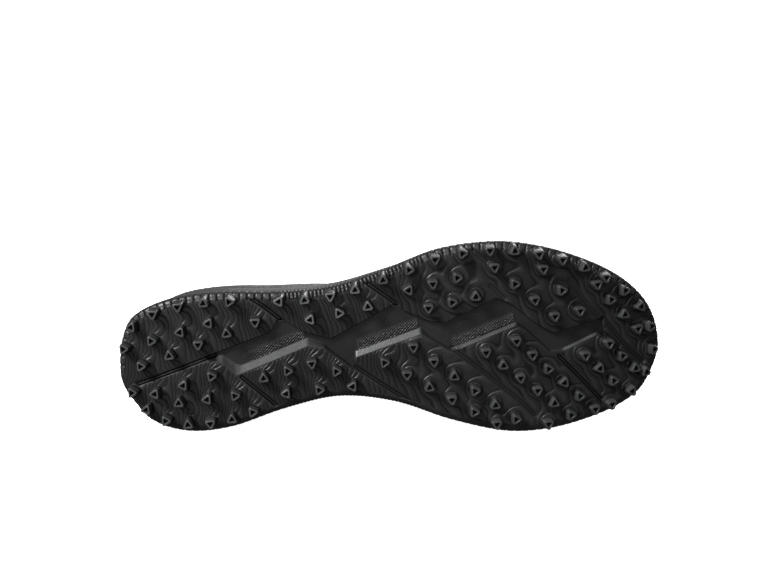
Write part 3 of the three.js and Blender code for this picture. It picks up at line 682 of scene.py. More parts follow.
def rimColumns(turns):  # the rounded edge, the side up to the rim and the wall down into the tray
    radius = tread["edgeRound"]
    bevelIn, bevelDown = tread["rimBevel"]
    steps = []
    for angle in np.linspace(0, math.pi / 2, tread["roundColumns"]):
        steps.append((radius * (1 - math.sin(angle)), radius * (1 - math.cos(angle))))
    for share in np.linspace(0, 1, tread["sideColumns"] + 1)[1:]:
        lift = radius + (tread["rimHeight"] - radius - bevelDown) * share
        steps.append((tread["rimDraft"] * share, lift))
    steps.append((bevelIn, tread["rimHeight"]))
    steps.append((tread["rimWall"], tread["rimHeight"]))
    steps.append((tread["rimWall"] + tread["rimDraft"], shoe["plate"]))
    columns = []
    for inset, lift in steps:
        spot = edgePoint(turns, np.full(len(turns), inset))
        columns.append(np.concatenate([spot, (faceHeight(spot[:, 0]) + lift)[:, None]], 1))
    return np.stack(columns, 1)


def notchedRows(turns):  # 1 in the rows that are notched, twice as close at the waist
    start, end = [rimTurn(-share) for share in tread["notchWaist"]]
    spacing = np.where((turns > start) & (turns < end), tread["notchRows"] // 2, tread["notchRows"])
    notch = (np.arange(len(turns)) % spacing == 0).astype(float)
    notch[[0, -1]] = 0  # the ends are closed to a line
    return notch


# a slit's darkness is how much painted shade, and bump, its groove gets
def slitMarks(plan):  # how far the nearest slit is, on which side of it, and how dark it is
    far = np.full(len(plan), tread["noSlit"])
    side = far.copy()
    dark = np.zeros(len(plan))
    for strength, path in slitPaths:
        distance = distanceTo(plan, path)
        above = np.where(plan[:, 1] > np.interp(plan[:, 0], path[:, 0], path[:, 1]), 1, -1)
        closer = distance < far
        far[closer] = distance[closer]
        side[closer] = (distance * above)[closer]
        dark[closer] = strength
    return {"slitFar": far, "slitSide": side, "slitDark": dark}


# where the channel's slants get painted light, and how much
def bevelMarks(x, y):  # the bright slants on the channel's inner side, and the fine hatch below them
    inner, top = channelAt(x)[1:]
    probe = tread["bevelProbe"]
    isBevel = np.ones(len(x))
    for drop in (inner - channelAt(x + probe)[1], channelAt(x - probe)[1] - inner):
        isBevel *= between(drop, *tread["bevelDrop"])
    stop = [channelEnds[1] - before for before in tread["bevelStop"]]
    bevelled = isBevel * between(x, *tread["bevelStart"], *stop)
    bevelled += tread["heelFacet"] * between(x, *tread["heelFacetRun"])
    hatch = ease(y - inner, *tread["hatchReach"]) * (y < inner) * channelShare(x, y) * isBevel
    return {
        "hatch": hatch * between(x, *tread["hatchRun"]),
        "bevelRise": np.clip((y - inner) / (top - inner), -1, 2),
        "bevelled": bevelled * (1 + tread["lastBevel"] * ease(x, *tread["lastBevelRun"])),
    }


def notchSides(turns, notch, outerSide, innerSide):  # moves the notched rows of the side inwards
    roundCount = tread["roundColumns"]
    fade = np.ones(roundCount + tread["sideColumns"])
    fade[-1] = tread["topNotch"]
    move = notch[:, None] * fade
    for side, sign in ((outerSide, 1), (innerSide, -1)):
        inward = edgePoint(sign * turns, np.ones(len(turns))) - onOutline(sign * turns)
        side[:, :len(fade), :2] += inward[:, None] * move[..., None] * tread["sideNotch"]
    outerSide[:, :roundCount, 2] += move[:, :roundCount] * tread["notchDepth"]


def treadPiece():
    turns = evenTurns(tread["rows"])
    outerSide, innerSide = rimColumns(turns), rimColumns(-turns)
    notch = notchedRows(turns)
    share = faceShares(outerSide[:, 0], innerSide[:, 0])
    face = outerSide[:, :1] + (innerSide[:, :1] - outerSide[:, :1]) * share[..., None]
    plan = face[..., :2].reshape(-1, 2).copy()
    x, y = plan[:, 0], plan[:, 1]
    marks = {**slitMarks(plan), **bevelMarks(x, y)}
    inChannel = channelShare(x, y)
    beside = 1 - ease(np.abs(y - channelAt(x)[2]), *tread["besidePlain"])
    beside = beside * (x > channelEnds[0]) * (x < channelEnds[1])
    isStepped = (1 - ease(inChannel, *tread["channelPlain"])) * (1 - beside)
    isStepped *= ease(marks["slitFar"], *tread["slitPlain"])
    marks["stepped"] = isStepped
    groove = 1 - ease(marks["slitFar"], tread["slitCore"], tread["slitReach"])
    edgeFar = np.minimum(np.linalg.norm(face - outerSide[:, :1], axis=2),
                         np.linalg.norm(face - innerSide[:, :1], axis=2))
    byOuterEdge = share < 0.5
    notchEnd = tread["notchReach"] - tread["edgeRound"]
    notched = notch[:, None] * byOuterEdge * (1 - ease(edgeFar, tread["edgeReach"][0], notchEnd))
    depth = (inChannel * tread["channelDepth"] - moundAt(x, y) * isStepped * rubber["stepHeight"]
             + groove * tread["slitDepth"] + notched.ravel() * tread["notchDepth"])
    face[..., 2] = (faceHeight(x) + depth).reshape(share.shape)
    notchSides(turns, notch, outerSide, innerSide)
    tray = (innerSide[:, -1:] + (outerSide[:, -1:] - innerSide[:, -1:])
            * np.linspace(0, 1, tread["trayColumns"] + 1)[1:, None])
    loop = np.concatenate([outerSide[:, ::-1], face, innerSide, tray], 1)
    piece = gridPiece("treadPlate", loop)
    sideCount, faceCount = outerSide.shape[1], face.shape[1]
    onFace = slice(sideCount, sideCount + faceCount)
    for name, values in marks.items():
        whole = np.full(loop.shape[:2], tread["noSlit"] if name in ("slitFar", "slitSide") else 0.0)
        whole[:, onFace] = values.reshape(share.shape)
        vertexMark(piece, name, whole)
    onOutside = slice(0, sideCount + faceCount + sideCount)
    spotX, spotY = loop[:, onOutside, 0], loop[:, onOutside, 1]
    contour = np.zeros(loop.shape[:2])
    contour[:, onOutside] = stepsAlong(spotX, spotY) + moundAt(spotX, spotY)
    vertexMark(piece, "contour", contour)
    facet = np.zeros(loop.shape[:2])
    facet[:, :sideCount] = 1
    facet[:, onFace] = byOuterEdge * (1 - ease(edgeFar, *tread["edgeReach"]))
    # a painted highlight on the outer edge of the tread
    vertexMark(piece, "rubbedAndLit", np.full(loop.shape[:2], tread["rubbedAndLit"]))
    vertexMark(piece, "wearAndHighlight", facet * (1 - notch[:, None]) * tread["edgePaintedHighlight"])
    # painted shade in the notched rows of the outer edge
    vertexMark(piece, "shade", facet * notch[:, None] * tread["notchShade"])
    restOnFloor(piece)
    weld(piece, 2e-6)
    smoothShade(piece, 42)
    finishPiece(piece, rubberMaterial, "outsole_rubber", "outsole")
    return piece


treadPlate = treadPiece()
print("tread made", len(treadPlate.data.polygons))

# Studs: three-sided, with a stepped foot, rounded corners and a hollow tip
stud = {
    "cornerSteps": 5,
    "edgeInset": 0.45,
    "toeInset": 1.8,
    "toeRun": (215, 280),
    "sway": 0.06,
    "swayStep": 2.4,
    "waistRun": (74, 84, 134, 142),
    "waistOuter": (4, 12),
    "forefootRun": (110, 190),
    # how much wear and painted highlight the rims get, more at the waist's outer side and less towards the
    # toe
    "rubbedAndLit": 0.53,
    "moreAtWaist": 0.47,
    "lessAtToe": 0.18,
    # the share of the flanks' painted highlight left at the heel
    "heelFlank": 0.15,
}
pointTurns = {"t": 0.0, "i": math.pi / 2, "h": math.pi, "o": -math.pi / 2}

# height over the face, corner radius, rounding, wear and painted highlight on the rim, painted shade in
# the hollow, contour steps, and 1 on the flank
studLevels = np.array([
    (-2.3, 0, 0, 0, 0, 0.1, 0), (-2.3, 6.0, 2.0, 0, 0, 0.1, 0), (0.25, 5.9, 2.0, 0, 0, 0.1, 0),
    (0.6, 5.5, 1.8, 0, 0, 0.8, 0), (0.7, 5.3, 1.7, 0, 0, 1.1, 0.5), (6.1, 3.95, 1.0, 0.1, 0, 2.1, 1),
    (6.38, 3.8, 0.92, 0.7, 0, 2.1, 0.5), (6.5, 3.5, 0.8, 1, 0, 2.1, 0), (6.5, 2.2, 0.4, 1, 0, 2.1, 0),
    (6.3, 1.85, 0.32, 0.3, 0.5, 2.1, 0), (5.2, 1.1, 0.2, 0, 0.9, 2.1, 0), (5.2, 0, 0, 0, 0.9, 2.1, 0),
])


def studModel():
    corners = np.arange(3) * 2 * math.pi / 3
    sweep = np.linspace(-math.pi / 3, math.pi / 3, stud["cornerSteps"])
    hub = np.repeat(corners, len(sweep))
    turn = (corners[:, None] + sweep).ravel()
    hub, turn = np.append(hub, hub[0]), np.append(turn, turn[0])
    rings = []
    for height, radius, bow, *_ in studLevels:
        reach = radius - 2 * bow
        rings.append(np.stack([reach * np.cos(hub) + bow * np.cos(turn),
                               reach * np.sin(hub) + bow * np.sin(turn),
                               np.full(len(hub), height)], -1))
    points = np.stack(rings, 1)
    model = gridPiece("studModel", points, place=np.asarray)
    for column, mark in ((3, "wearAndHighlight"), (4, "shade"), (5, "contour"), (6, "flank")):
        vertexMark(model, mark, np.tile(studLevels[:, column], len(hub)))
    weld(model, 1e-4)
    return model


def joined(parts, name):
    bpy.ops.object.select_all(action="DESELECT")
    for part in parts:
        part.select_set(True)
    bpy.context.view_layer.objects.active = parts[0]
    bpy.ops.object.join()
    piece = bpy.context.object
    piece.name = piece.data.name = name
    return piece


def withinEdge(spots):  # moves points that stand past the sole's edge back inside it
    turns = np.linspace(0, 2 * math.pi, 1200, endpoint=False)
    line = onOutline(turns)
    inward = edgePoint(turns, np.ones(len(turns))) - line
    for at, spot in enumerate(spots):
        nearest = np.argmin(np.sum((line - spot[:2]) ** 2, axis=1))
        depth = (spot[:2] - line[nearest]) @ inward[nearest]
        height = max(0, float(faceHeight(spot[0]) - spot[2])) / shoe["studHeight"]
        inset = stud["edgeInset"] + stud["toeInset"] * height * ease(spot[0], *stud["toeRun"])
        if depth < inset:
            spots[at, :2] += inward[nearest] * (inset - depth)
    return spots


def copiesOf(model, spots, name):  # one mesh of a model's copies, each at its own place
    parts = []
    for spot in spots:
        part = model.copy()
        part.data = model.data.copy()
        part.data.transform(spot)
        bpy.context.collection.objects.link(part)
        parts.append(part)
    bpy.data.objects.remove(model)
    return joined(parts, name)


def studsPiece():
    spots = []
    for number, (x, y, letter) in enumerate(places):
        slope = math.atan(float(rise(x + 1) - rise(x - 1)) / 2)
        sway = stud["sway"] * math.sin(number * stud["swayStep"])
        spots.append(Matrix.Translation((x, y, float(faceHeight(x))))
                     @ Matrix.Rotation(-slope, 4, "Y")
                     @ Matrix.Rotation(pointTurns[letter] + sway, 4, "Z")
                     @ Matrix.Diagonal((1, 1, -1, 1)))
    piece = copiesOf(studModel(), spots, "treadStuds")
    piece.data.flip_normals()
    spots = np.zeros(len(piece.data.vertices) * 3)
    piece.data.vertices.foreach_get("co", spots)
    spots = withinEdge(spots.reshape(-1, 3))
    x, y = spots[:, 0], spots[:, 1]
    # wear and painted highlight on the rims, more at the waist's outer side and less towards the toe
    atWaist = between(x, *stud["waistRun"]) * ease(-y, *stud["waistOuter"])
    towardsToe = ease(x, *stud["forefootRun"])
    rubbedAndLit = stud["rubbedAndLit"] + atWaist * stud["moreAtWaist"] - towardsToe * stud["lessAtToe"]
    vertexMark(piece, "rubbedAndLit", rubbedAndLit)
    # a painted highlight on the stud flanks, faint at the heel and full towards the toe
    flank = np.zeros(len(spots))
    flanks = piece.data.attributes["flank"].data
    flanks.foreach_get("value", flank)
    flanks.foreach_set("value", flank * (stud["heelFlank"] + (1 - stud["heelFlank"]) * towardsToe))
    vertexMark(piece, "stepped", np.ones(len(spots)))
    piece.data.vertices.foreach_set("co", toWorld(spots).ravel())
    smoothShade(piece, 35)
    finishPiece(piece, rubberMaterial, "outsole_rubber", "outsole")
    return piece


treadStuds = studsPiece()
print("studs made", len(treadStuds.data.polygons))

# Midsole: foam that fills the rubber tray, steps out over its rim and cups the upper's lower edge
midsole = {
    "rows": 360,
    "inset": 0.8,
    "swell": 0.35,
    "cupHeight": 3,
    "cupWall": 1.4,
    "cupDraft": 0.2,
    "groovePlace": 0.55,
    "grooveDepth": 0.35,
    "grooveWidth": 0.05,
    "wallRings": 15,
    "wallStart": 0.03,
    "wallStop": 0.4,
    "leanPower": 1.6,
    "edgeRound": 0.35,
    "rimLap": 0.3,
}


def ringPiece(name, profile, rows):  # a closed body through rings (inset, height) round the sole
    turns = evenTurns(rows)
    turns = np.concatenate([turns, 2 * math.pi - turns[-2::-1]])
    rings = []
    for inset, heightAt in profile:
        spot = edgePoint(turns, np.full(len(turns), float(inset)))
        rings.append(np.concatenate([spot, heightAt(spot[:, 0])[:, None]], 1))
    points = np.stack(rings, 1)
    piece = gridPiece(name, points)
    restOnFloor(piece)
    weld(piece, 2e-5, outwards=False)
    bpy.ops.object.mode_set(mode="EDIT")
    bpy.ops.mesh.select_mode(type="EDGE")
    bpy.ops.mesh.select_all(action="DESELECT")
    bpy.ops.mesh.select_non_manifold()
    bpy.ops.mesh.fill_holes(sides=0)
    bpy.ops.mesh.select_all(action="SELECT")
    bpy.ops.mesh.quads_convert_to_tris()
    bpy.ops.mesh.normals_make_consistent(inside=False)
    bpy.ops.object.mode_set(mode="OBJECT")
    return piece


def midsolePiece():
    fit = shoe["fit"]
    inTray = tread["rimWall"] + tread["rimDraft"] + fit
    inCup = shoe["featherInset"] - fit

    def trayAt(x):
        return trayHeight(x) + fit

    def rimAt(x):
        return faceHeight(x) + tread["rimHeight"] + fit

    def cupAt(x):
        return footbedHeight(x) + midsole["cupHeight"]

    def wallAt(share):  # the height of a ring on the side, between the rim and the cup
        up = midsole["wallStart"] + (1 - midsole["wallStart"]) * share
        return lambda x: rimAt(x) + (cupAt(x) - midsole["wallStop"] - rimAt(x)) * up

    inset, cupOutside = midsole["inset"], inCup - midsole["cupWall"]
    profile = [(inTray, trayAt), (inTray, rimAt), (inset + midsole["rimLap"], rimAt)]
    for share in np.linspace(0, 1, midsole["wallRings"]):
        swell = midsole["swell"] * math.sin(math.pi * share)
        fromGroove = (share - midsole["groovePlace"]) / midsole["grooveWidth"]
        groove = midsole["grooveDepth"] * math.exp(-fromGroove ** 2)
        lean = (cupOutside - inset) * share ** midsole["leanPower"]
        profile.append((inset - swell + groove + lean, wallAt(share)))
    profile += [(cupOutside + midsole["edgeRound"], cupAt), (inCup - midsole["cupDraft"], cupAt),
                (inCup, footbedHeight)]
    piece = ringPiece("foamMidsole", profile, midsole["rows"])
    smoothShade(piece, 40)
    finishPiece(piece, foamMaterial, "midsole_foam", "midsole")
    return piece


foamMidsole = midsolePiece()
print("midsole made", len(foamMidsole.data.polygons))

# Upper: one hollow wall on the form of the foot, with its overlays, padded collar and punched eyelets
last = {
    "instepHeight": 68,
    "collarHeight": 62,
    "heelPinch": 0.1,
    "heelLean": 4,
    "crestStart": 0.086,
    "crestEnd": 0.935,
    "throatLength": 92,
    "throatTopWidth": 26,
    "throatEndWidth": 17,
    "throatLow": 0.3,
    "wall": 2.2,
    "padding": 2.4,
    "paddingUp": (0.2, 0.45),
    "paddingAlong": (0.22, 0.34),
    "swellUp": (0.02, 0.3),
    "pinchUp": (0.15, 1),
    "pinchAlong": (0.25, 0.5),
    "leanAlong": (0, 0.2),
    "levels": 401,
    "halvings": 14,
    "treeTurns": 150,
    "treeLevels": 80,
    "lookFrom": 300,
}

# along, crest height, crest offset, swell of the outer and inner side, and how square the section is
footForm = np.array([
    (0.0, 1.5, 0, 0, 0, 3), (0.2, 1.5, 0, 0, 0, 3), (0.3, 1.4, 0.005, 0, 0.045, 3),
    (0.4, 1.14, 0.015, 0, 0.1, 2.9), (0.5, 1, 0.024, 0.01, 0.085, 2.55),
    (0.6, 0.85, 0.032, 0.015, 0.04, 2.3), (0.7, 0.69, 0.04, 0.01, 0.01, 2.25),
    (0.8, 0.54, 0.054, 0, 0, 2.4), (0.9, 0.4, 0.069, 0, 0, 2.5), (1.0, 0.23, 0.082, 0, 0, 2.5),
])

# along, then the collar's top edge as a share of the collar height
collar = np.array([
    (-0.05, 1.02), (0.014, 1.02), (0.075, 0.87), (0.15, 0.73), (0.24, 0.71), (0.32, 0.84), (0.386, 1.2),
])


def formPoint(turn, inset, level, bottom):  # the closed form of the foot, inside an offset
    turn, inset, level = np.broadcast_arrays(np.asarray(turn, float), np.asarray(inset, float), level)
    length, width = shoe["soleLength"], shoe["ballWidth"]
    station = onOutline(turn)[..., 0] / length
    start, end = last["crestStart"] * length + inset, last["crestEnd"] * length - inset
    crestX = start + (end - start) * station
    along = crestX / length
    height, offset, outerSwell, innerSwell, square = [
        smooth(footForm[:, 0], footForm[:, column], along) for column in range(1, footForm.shape[1])]
    crestY = offset * width
    crestZ = footbedHeight(crestX) + height * last["instepHeight"] - inset
    side = np.where(isOuter(turn), outerSwell, innerSwell) * width
    foot = edgePoint(turn, shoe["featherInset"] + inset - side * ease(level, *last["swellUp"]))
    footZ = footbedHeight(foot[..., 0]) + bottom
    power = 2 / square
    angle = level * math.pi / 2
    share = np.maximum(np.cos(angle), 0) ** power
    x = crestX + (foot[..., 0] - crestX) * share
    y = crestY + (foot[..., 1] - crestY) * share
    z = footZ + (crestZ - footZ) * np.sin(angle) ** power
    over = (z - float(footbedHeight(0))) / last["collarHeight"]
    heel = ease(over, *last["pinchUp"]) * (1 - ease(along, *last["pinchAlong"]))
    y = y * (1 - last["heelPinch"] * heel)
    x = x + last["heelLean"] * heel * (1 - ease(x / length, *last["leanAlong"]))
    return np.stack([x, y, z], -1)


throatStart = collar[-1, 0] * shoe["soleLength"]
throatEnd = throatStart + last["throatLength"]


def throatHalf(x):
    share = np.clip((x - throatStart) / last["throatLength"], 0, 1)
    return (last["throatTopWidth"] + (last["throatEndWidth"] - last["throatTopWidth"]) * share) / 2


def throatMiddle(x):
    return smooth(footForm[:, 0], footForm[:, 2], np.asarray(x) / shoe["soleLength"]) * shoe["ballWidth"]


def isOpen(point):  # whether a point of the closed form lies in the collar's or throat's opening
    x, y, z = point[..., 0], point[..., 1], point[..., 2]
    top = smooth(collar[:, 0], collar[:, 1], np.clip(x / shoe["soleLength"], *collar[[0, -1], 0]))
    base = float(footbedHeight(shoe["bevelEnd"] * shoe["soleLength"]))
    byCollar = (x < throatStart) & (z > base + top * last["collarHeight"])
    centre = throatEnd - last["throatEndWidth"] / 2
    bow = np.clip((x - centre) / throatHalf(centre), 0, 1)
    half = throatHalf(x) * np.sqrt(1 - bow ** 2)
    low = float(footbedHeight(throatEnd)) + last["throatLow"] * last["instepHeight"]
    byThroat = (x > throatStart - 1) & (np.abs(y - throatMiddle(x)) < half) & (z > low)
    return byCollar | byThroat


def openingLevels(turns):  # how far up each side runs before it meets the opening
    levels = np.linspace(0, 1, last["levels"])
    openAt = isOpen(formPoint(turns[:, None], 0.0, levels[None], shoe["fit"]))
    first = np.where(openAt.any(1), openAt.argmax(1), len(levels))
    low = levels[np.clip(first - 1, 0, len(levels) - 1)]
    high = levels[np.clip(first, 0, len(levels) - 1)]
    for _ in range(last["halvings"]):
        middle = (low + high) / 2
        isCut = isOpen(formPoint(turns, 0.0, middle, shoe["fit"]))
        high = np.where(isCut, middle, high)
        low = np.where(isCut, low, middle)
    return np.where(openAt.any(1), low, 1.0)


def roundedEdge(far):  # how thick a soft edge is: 0 at the edge, 1 from a distance of 1
    return np.sqrt(1 - (1 - np.clip(far, 0, 1)) ** 2)


def unit(vectors):
    return vectors / np.maximum(np.linalg.norm(vectors, axis=-1, keepdims=True), 1e-9)


upper = {
    "columns": 250,
    "rows": 64,
    "rollRows": 7,
    "shutLevel": 0.9999,
    "collarLap": 2,
    "rowPower": 0.9,
    "rollReach": 0.9,
    "reliefUp": (2.5, 5),
    "overlay": 0.45,
    "eyestayWidth": 14.5,
    "eyestayEdge": (0.6, 0.3),
    "collarBand": 19,
    "collarSwell": 1.3,
    "swellOffThroat": (5, 14),
    "counterLength": 66,
    "counterHeight": 40,
    "counterEdge": (0.985, 1.01),
    "toeBand": 15,
    "toeBandRun": (205, 250),
    "toeBandEdge": (0.5, 0.4),
    "toeBandLeast": 2,
    "creaseDepth": 0.7,
    "creaseWidth": 2.6,
    "creaseUp": (9, 22),
    "eyeletRadius": 2,
    "eyeletInset": 6,
    "eyeletStart": 7.8,
    "eyeletPairs": 6,
    "eyeletSides": 24,
    "punchLength": 11,
}

# Flex creases over the ball: place along the shoe, bend, and depth as a share of the deepest
creases = [(186, 0.010, 1.0), (197, 0.008, 0.8), (209, 0.011, 0.65)]


def gridNormals(points):  # outward normals of a grid whose rows run round the shoe
    ahead = np.roll(points, -1, 0) - np.roll(points, 1, 0)
    aside = np.gradient(points, axis=1)
    return unit(np.cross(ahead, aside))


def farFrom(points, line):  # distance from each point to the nearest point of a line
    flat = points.reshape(-1, 3)
    best = np.full(len(flat), 1e9)
    for spot in line:
        best = np.minimum(best, np.linalg.norm(flat - spot, axis=1))
    return best.reshape(points.shape[:-1])


def upperShape():
    half = evenTurns(upper["columns"])
    turns = np.concatenate([half, 2 * math.pi - half[-2:0:-1]])
    top = openingLevels(turns)
    share = np.linspace(0, 1, upper["rows"]) ** upper["rowPower"]
    levels = top[:, None] * share[None]
    outer = formPoint(turns[:, None], 0.0, levels, shoe["fit"])
    along = onOutline(turns)[:, 0][:, None] / shoe["soleLength"]
    padded = ease(levels, *last["paddingUp"]) * (1 - ease(along, *last["paddingAlong"]))
    thick = last["wall"] + last["padding"] * padded
    inner = formPoint(turns[:, None], thick, levels, shoe["fit"])
    return turns, top, outer, inner


def reliefAt(outer, throatLine, collarLine):  # how far overlays, collar and creases move the surface
    x, z = outer[..., 0], outer[..., 2]
    throatFar, collarFar = farFrom(outer, throatLine), farFrom(outer, collarLine)
    high = z - footbedHeight(x)
    counter = np.sqrt((x / upper["counterLength"]) ** 2 + (high / upper["counterHeight"]) ** 2)
    toeBand = upper["toeBand"] * ease(x, *upper["toeBandRun"])
    width, (before, after) = upper["eyestayWidth"], upper["eyestayEdge"]
    below, above = upper["toeBandEdge"]
    eyestay = 1 - ease(throatFar, width - before, width + after)
    heelCup = 1 - ease(counter, *upper["counterEdge"])
    toeCap = 1 - ease(high, toeBand - below, toeBand + above)
    overlay = np.maximum(np.maximum(eyestay, heelCup), toeCap * (toeBand > upper["toeBandLeast"]))
    swell = np.sin(math.pi * np.clip(collarFar / upper["collarBand"], 0, 1))
    swell = swell * ease(throatFar, *upper["swellOffThroat"])
    across = outer[..., 1] - throatMiddle(x)
    crease = 0
    for place, bend, depth in creases:
        trough = np.exp(-((x - place + bend * across ** 2) / upper["creaseWidth"]) ** 2)
        crease = crease + depth * trough * ease(high, *upper["creaseUp"])
    relief = overlay * upper["overlay"] + swell * upper["collarSwell"] - crease * upper["creaseDepth"]
    return relief * ease(high, *upper["reliefUp"]), throatFar, collarFar, counter, overlay


def openSurface(piece, faces):  # deletes the given faces
    bpy.ops.object.mode_set(mode="EDIT")
    shape = bmesh.from_edit_mesh(piece.data)
    shape.faces.ensure_lookup_table()
    bmesh.ops.delete(shape, geom=[shape.faces[at] for at in faces], context="FACES_ONLY")
    bmesh.update_edit_mesh(piece.data)
    bpy.ops.object.mode_set(mode="OBJECT")


def edgeRoll(outer, inner, isOpening):  # the rounded edge between the wall's two faces
    tangent = unit(np.roll(outer[:, -1], -1, 0) - np.roll(outer[:, -1], 1, 0))
    outwards = unit(outer[:, -1] - inner[:, -1])
    into = unit(np.cross(outwards, tangent))
    inwardTest = np.sum(into * (outer[:, -1] - outer[:, -3]), axis=1)
    into *= np.where(inwardTest < 0, -1, 1)[:, None]
    middle = (outer[:, -1] + inner[:, -1]) / 2
    half = (outer[:, -1] - inner[:, -1]) / 2
    reach = np.linalg.norm(half, axis=1, keepdims=True) * isOpening[:, None] * upper["rollReach"]
    angles = np.linspace(0, math.pi, upper["rollRows"] + 2)[1:-1]
    return np.stack([middle + half * math.cos(angle) + into * reach * math.sin(angle)
                     for angle in angles], 1)


def upperPiece():
    turns, top, outer, inner = upperShape()
    normals = gridNormals(outer)
    isOpening = top < upper["shutLevel"]
    opening = outer[isOpening, -1]
    isThroat = opening[:, 0] > throatStart - upper["collarLap"]
    relief, throatFar, collarFar, counter, overlay = reliefAt(outer, opening[isThroat], opening[~isThroat])
    outer = outer + normals * relief[..., None]
    crest = (outer[:, -1] + outer[-np.arange(len(turns)), -1]) / 2  # the two sides meet there
    outer[~isOpening, -1] = crest[~isOpening]
    loop = np.concatenate([outer, edgeRoll(outer, inner, isOpening), inner[:, ::-1], outer[:, :1]], 1)
    loop = np.concatenate([loop, loop[:1]], 0)
    piece = gridPiece("upperShell", loop)
    rows, rollRows = upper["rows"], upper["rollRows"]
    marks = np.zeros(loop.shape[:2])
    marks[:-1, :rows] = overlay
    marks[-1] = marks[0]
    vertexMark(piece, "overlay", marks)
    faceGrid = (loop.shape[0] - 1, loop.shape[1] - 1)
    lined = np.zeros(faceGrid, int)
    lined[:, rows + rollRows // 2:] = 1
    piece.data.materials.append(upperMaterial)
    piece.data.materials.append(liningMaterial)
    piece.data.polygons.foreach_set("material_index", lined.ravel())
    isShut = np.append(~isOpening, not isOpening[0])
    hidden = np.zeros(faceGrid, bool)
    hidden[:, rows - 1:rows + rollRows] = (isShut[:-1] & isShut[1:])[:, None]
    openSurface(piece, np.flatnonzero(hidden.ravel()))
    restOnFloor(piece)
    weld(piece, 3e-5)
    punchEyelets(piece)
    smoothShade(piece, 50)
    finishPiece(piece, None, "upper_synthetic", "upper")
    return outer, throatFar, collarFar, counter


def formTree(inset):  # the form at an inset, to look down on
    half = evenTurns(last["treeTurns"])
    turns = np.concatenate([half, 2 * math.pi - half[-2:0:-1]])
    levels = np.linspace(0, 1, last["treeLevels"])
    points = formPoint(turns[:, None], inset, levels[None], shoe["fit"])
    rows, columns = points.shape[:2]
    start = (np.arange(rows)[:, None] * columns + np.arange(columns - 1)).ravel()
    ahead = (start + columns) % (rows * columns)
    faces = np.stack([start, ahead, ahead + 1, start + 1], -1)
    return BVHTree.FromPolygons(points.reshape(-1, 3).tolist(), faces.tolist())


def onForm(tree, x, y):  # the place over a place in plan, and the way out of the surface there
    place, slope = tree.ray_cast(Vector((x, y, last["lookFrom"])), Vector((0, 0, -1)))[:2]
    return np.array(place), np.array(slope if slope.z > 0 else -slope)


def eyeletPlace(pair, side):
    share = pair / (upper["eyeletPairs"] - 1)
    x = (throatEnd - upper["eyeletInset"]) * (1 - share) + (throatStart + upper["eyeletStart"]) * share
    return np.array([x, float(throatMiddle(x)) + side * (float(throatHalf(x)) + upper["eyeletInset"])])


def punchEyelets(piece):
    punches = []
    for pair in range(upper["eyeletPairs"]):
        for side in (-1, 1):
            place, slope = onForm(outerTree, *eyeletPlace(pair, side))
            way = lying.to_3x3() @ Vector(slope)
            bpy.ops.mesh.primitive_cylinder_add(
                vertices=upper["eyeletSides"], radius=upper["eyeletRadius"] * millimetre,
                depth=upper["punchLength"] * millimetre, location=toWorld(place),
                rotation=way.to_track_quat("Z", "Y").to_euler())
            punches.append(bpy.context.object)
    punch = joined(punches, "eyeletPunch")
    holes = piece.modifiers.new("holes", "BOOLEAN")
    holes.operation = "DIFFERENCE"
    holes.solver = "EXACT"
    holes.object = punch
    bpy.ops.object.select_all(action="DESELECT")
    bpy.context.view_layer.objects.active = piece
    piece.select_set(True)
    bpy.ops.object.modifier_apply(modifier="holes")
    bpy.data.objects.remove(punch)
    weld(piece, 1e-5, outwards=False)


outerTree = formTree(0.0)
upperSkin, throatFar, collarFar, counterFar = upperPiece()
upperSlopes = gridNormals(upperSkin)
print("upper made")

# Stitches: short thread capsules along the edges of the overlays and the collar
stitch = {
    "length": 2.1,
    "pitch": 3.0,
    "radius": 0.3,
    "eyestayInsets": (1.6, 4.0),
    "throatInset": 1.8,
    "counterEdge": 0.955,
    "collarFrom": 12,
    "collarBeyond": 40,
    "widestGap": 8,
    "fewestPlaces": 5,
    "floorGap": 0.4,
}


def seamRuns(field, value):  # where a field over the upper's grid passes a value, as runs of places
    above = field > value
    runs, run = [], []
    for column in range(len(field)):
        rows = np.flatnonzero(above[column, 1:] != above[column, :-1])
        place = None
        if len(rows):
            row = rows[-1]
            low, high = field[column, row], field[column, row + 1]
            share = (value - low) / (high - low)
            place = upperSkin[column, row] * (1 - share) + upperSkin[column, row + 1] * share
        if run and (place is None or np.linalg.norm(place - run[-1][:3]) > stitch["widestGap"]):
            runs.append(np.array(run))
            run = []
        if place is not None:
            run.append(np.concatenate([place, upperSlopes[column, row]]))
    if run:
        runs.append(np.array(run))
    return [run for run in runs if len(run) > stitch["fewestPlaces"]]


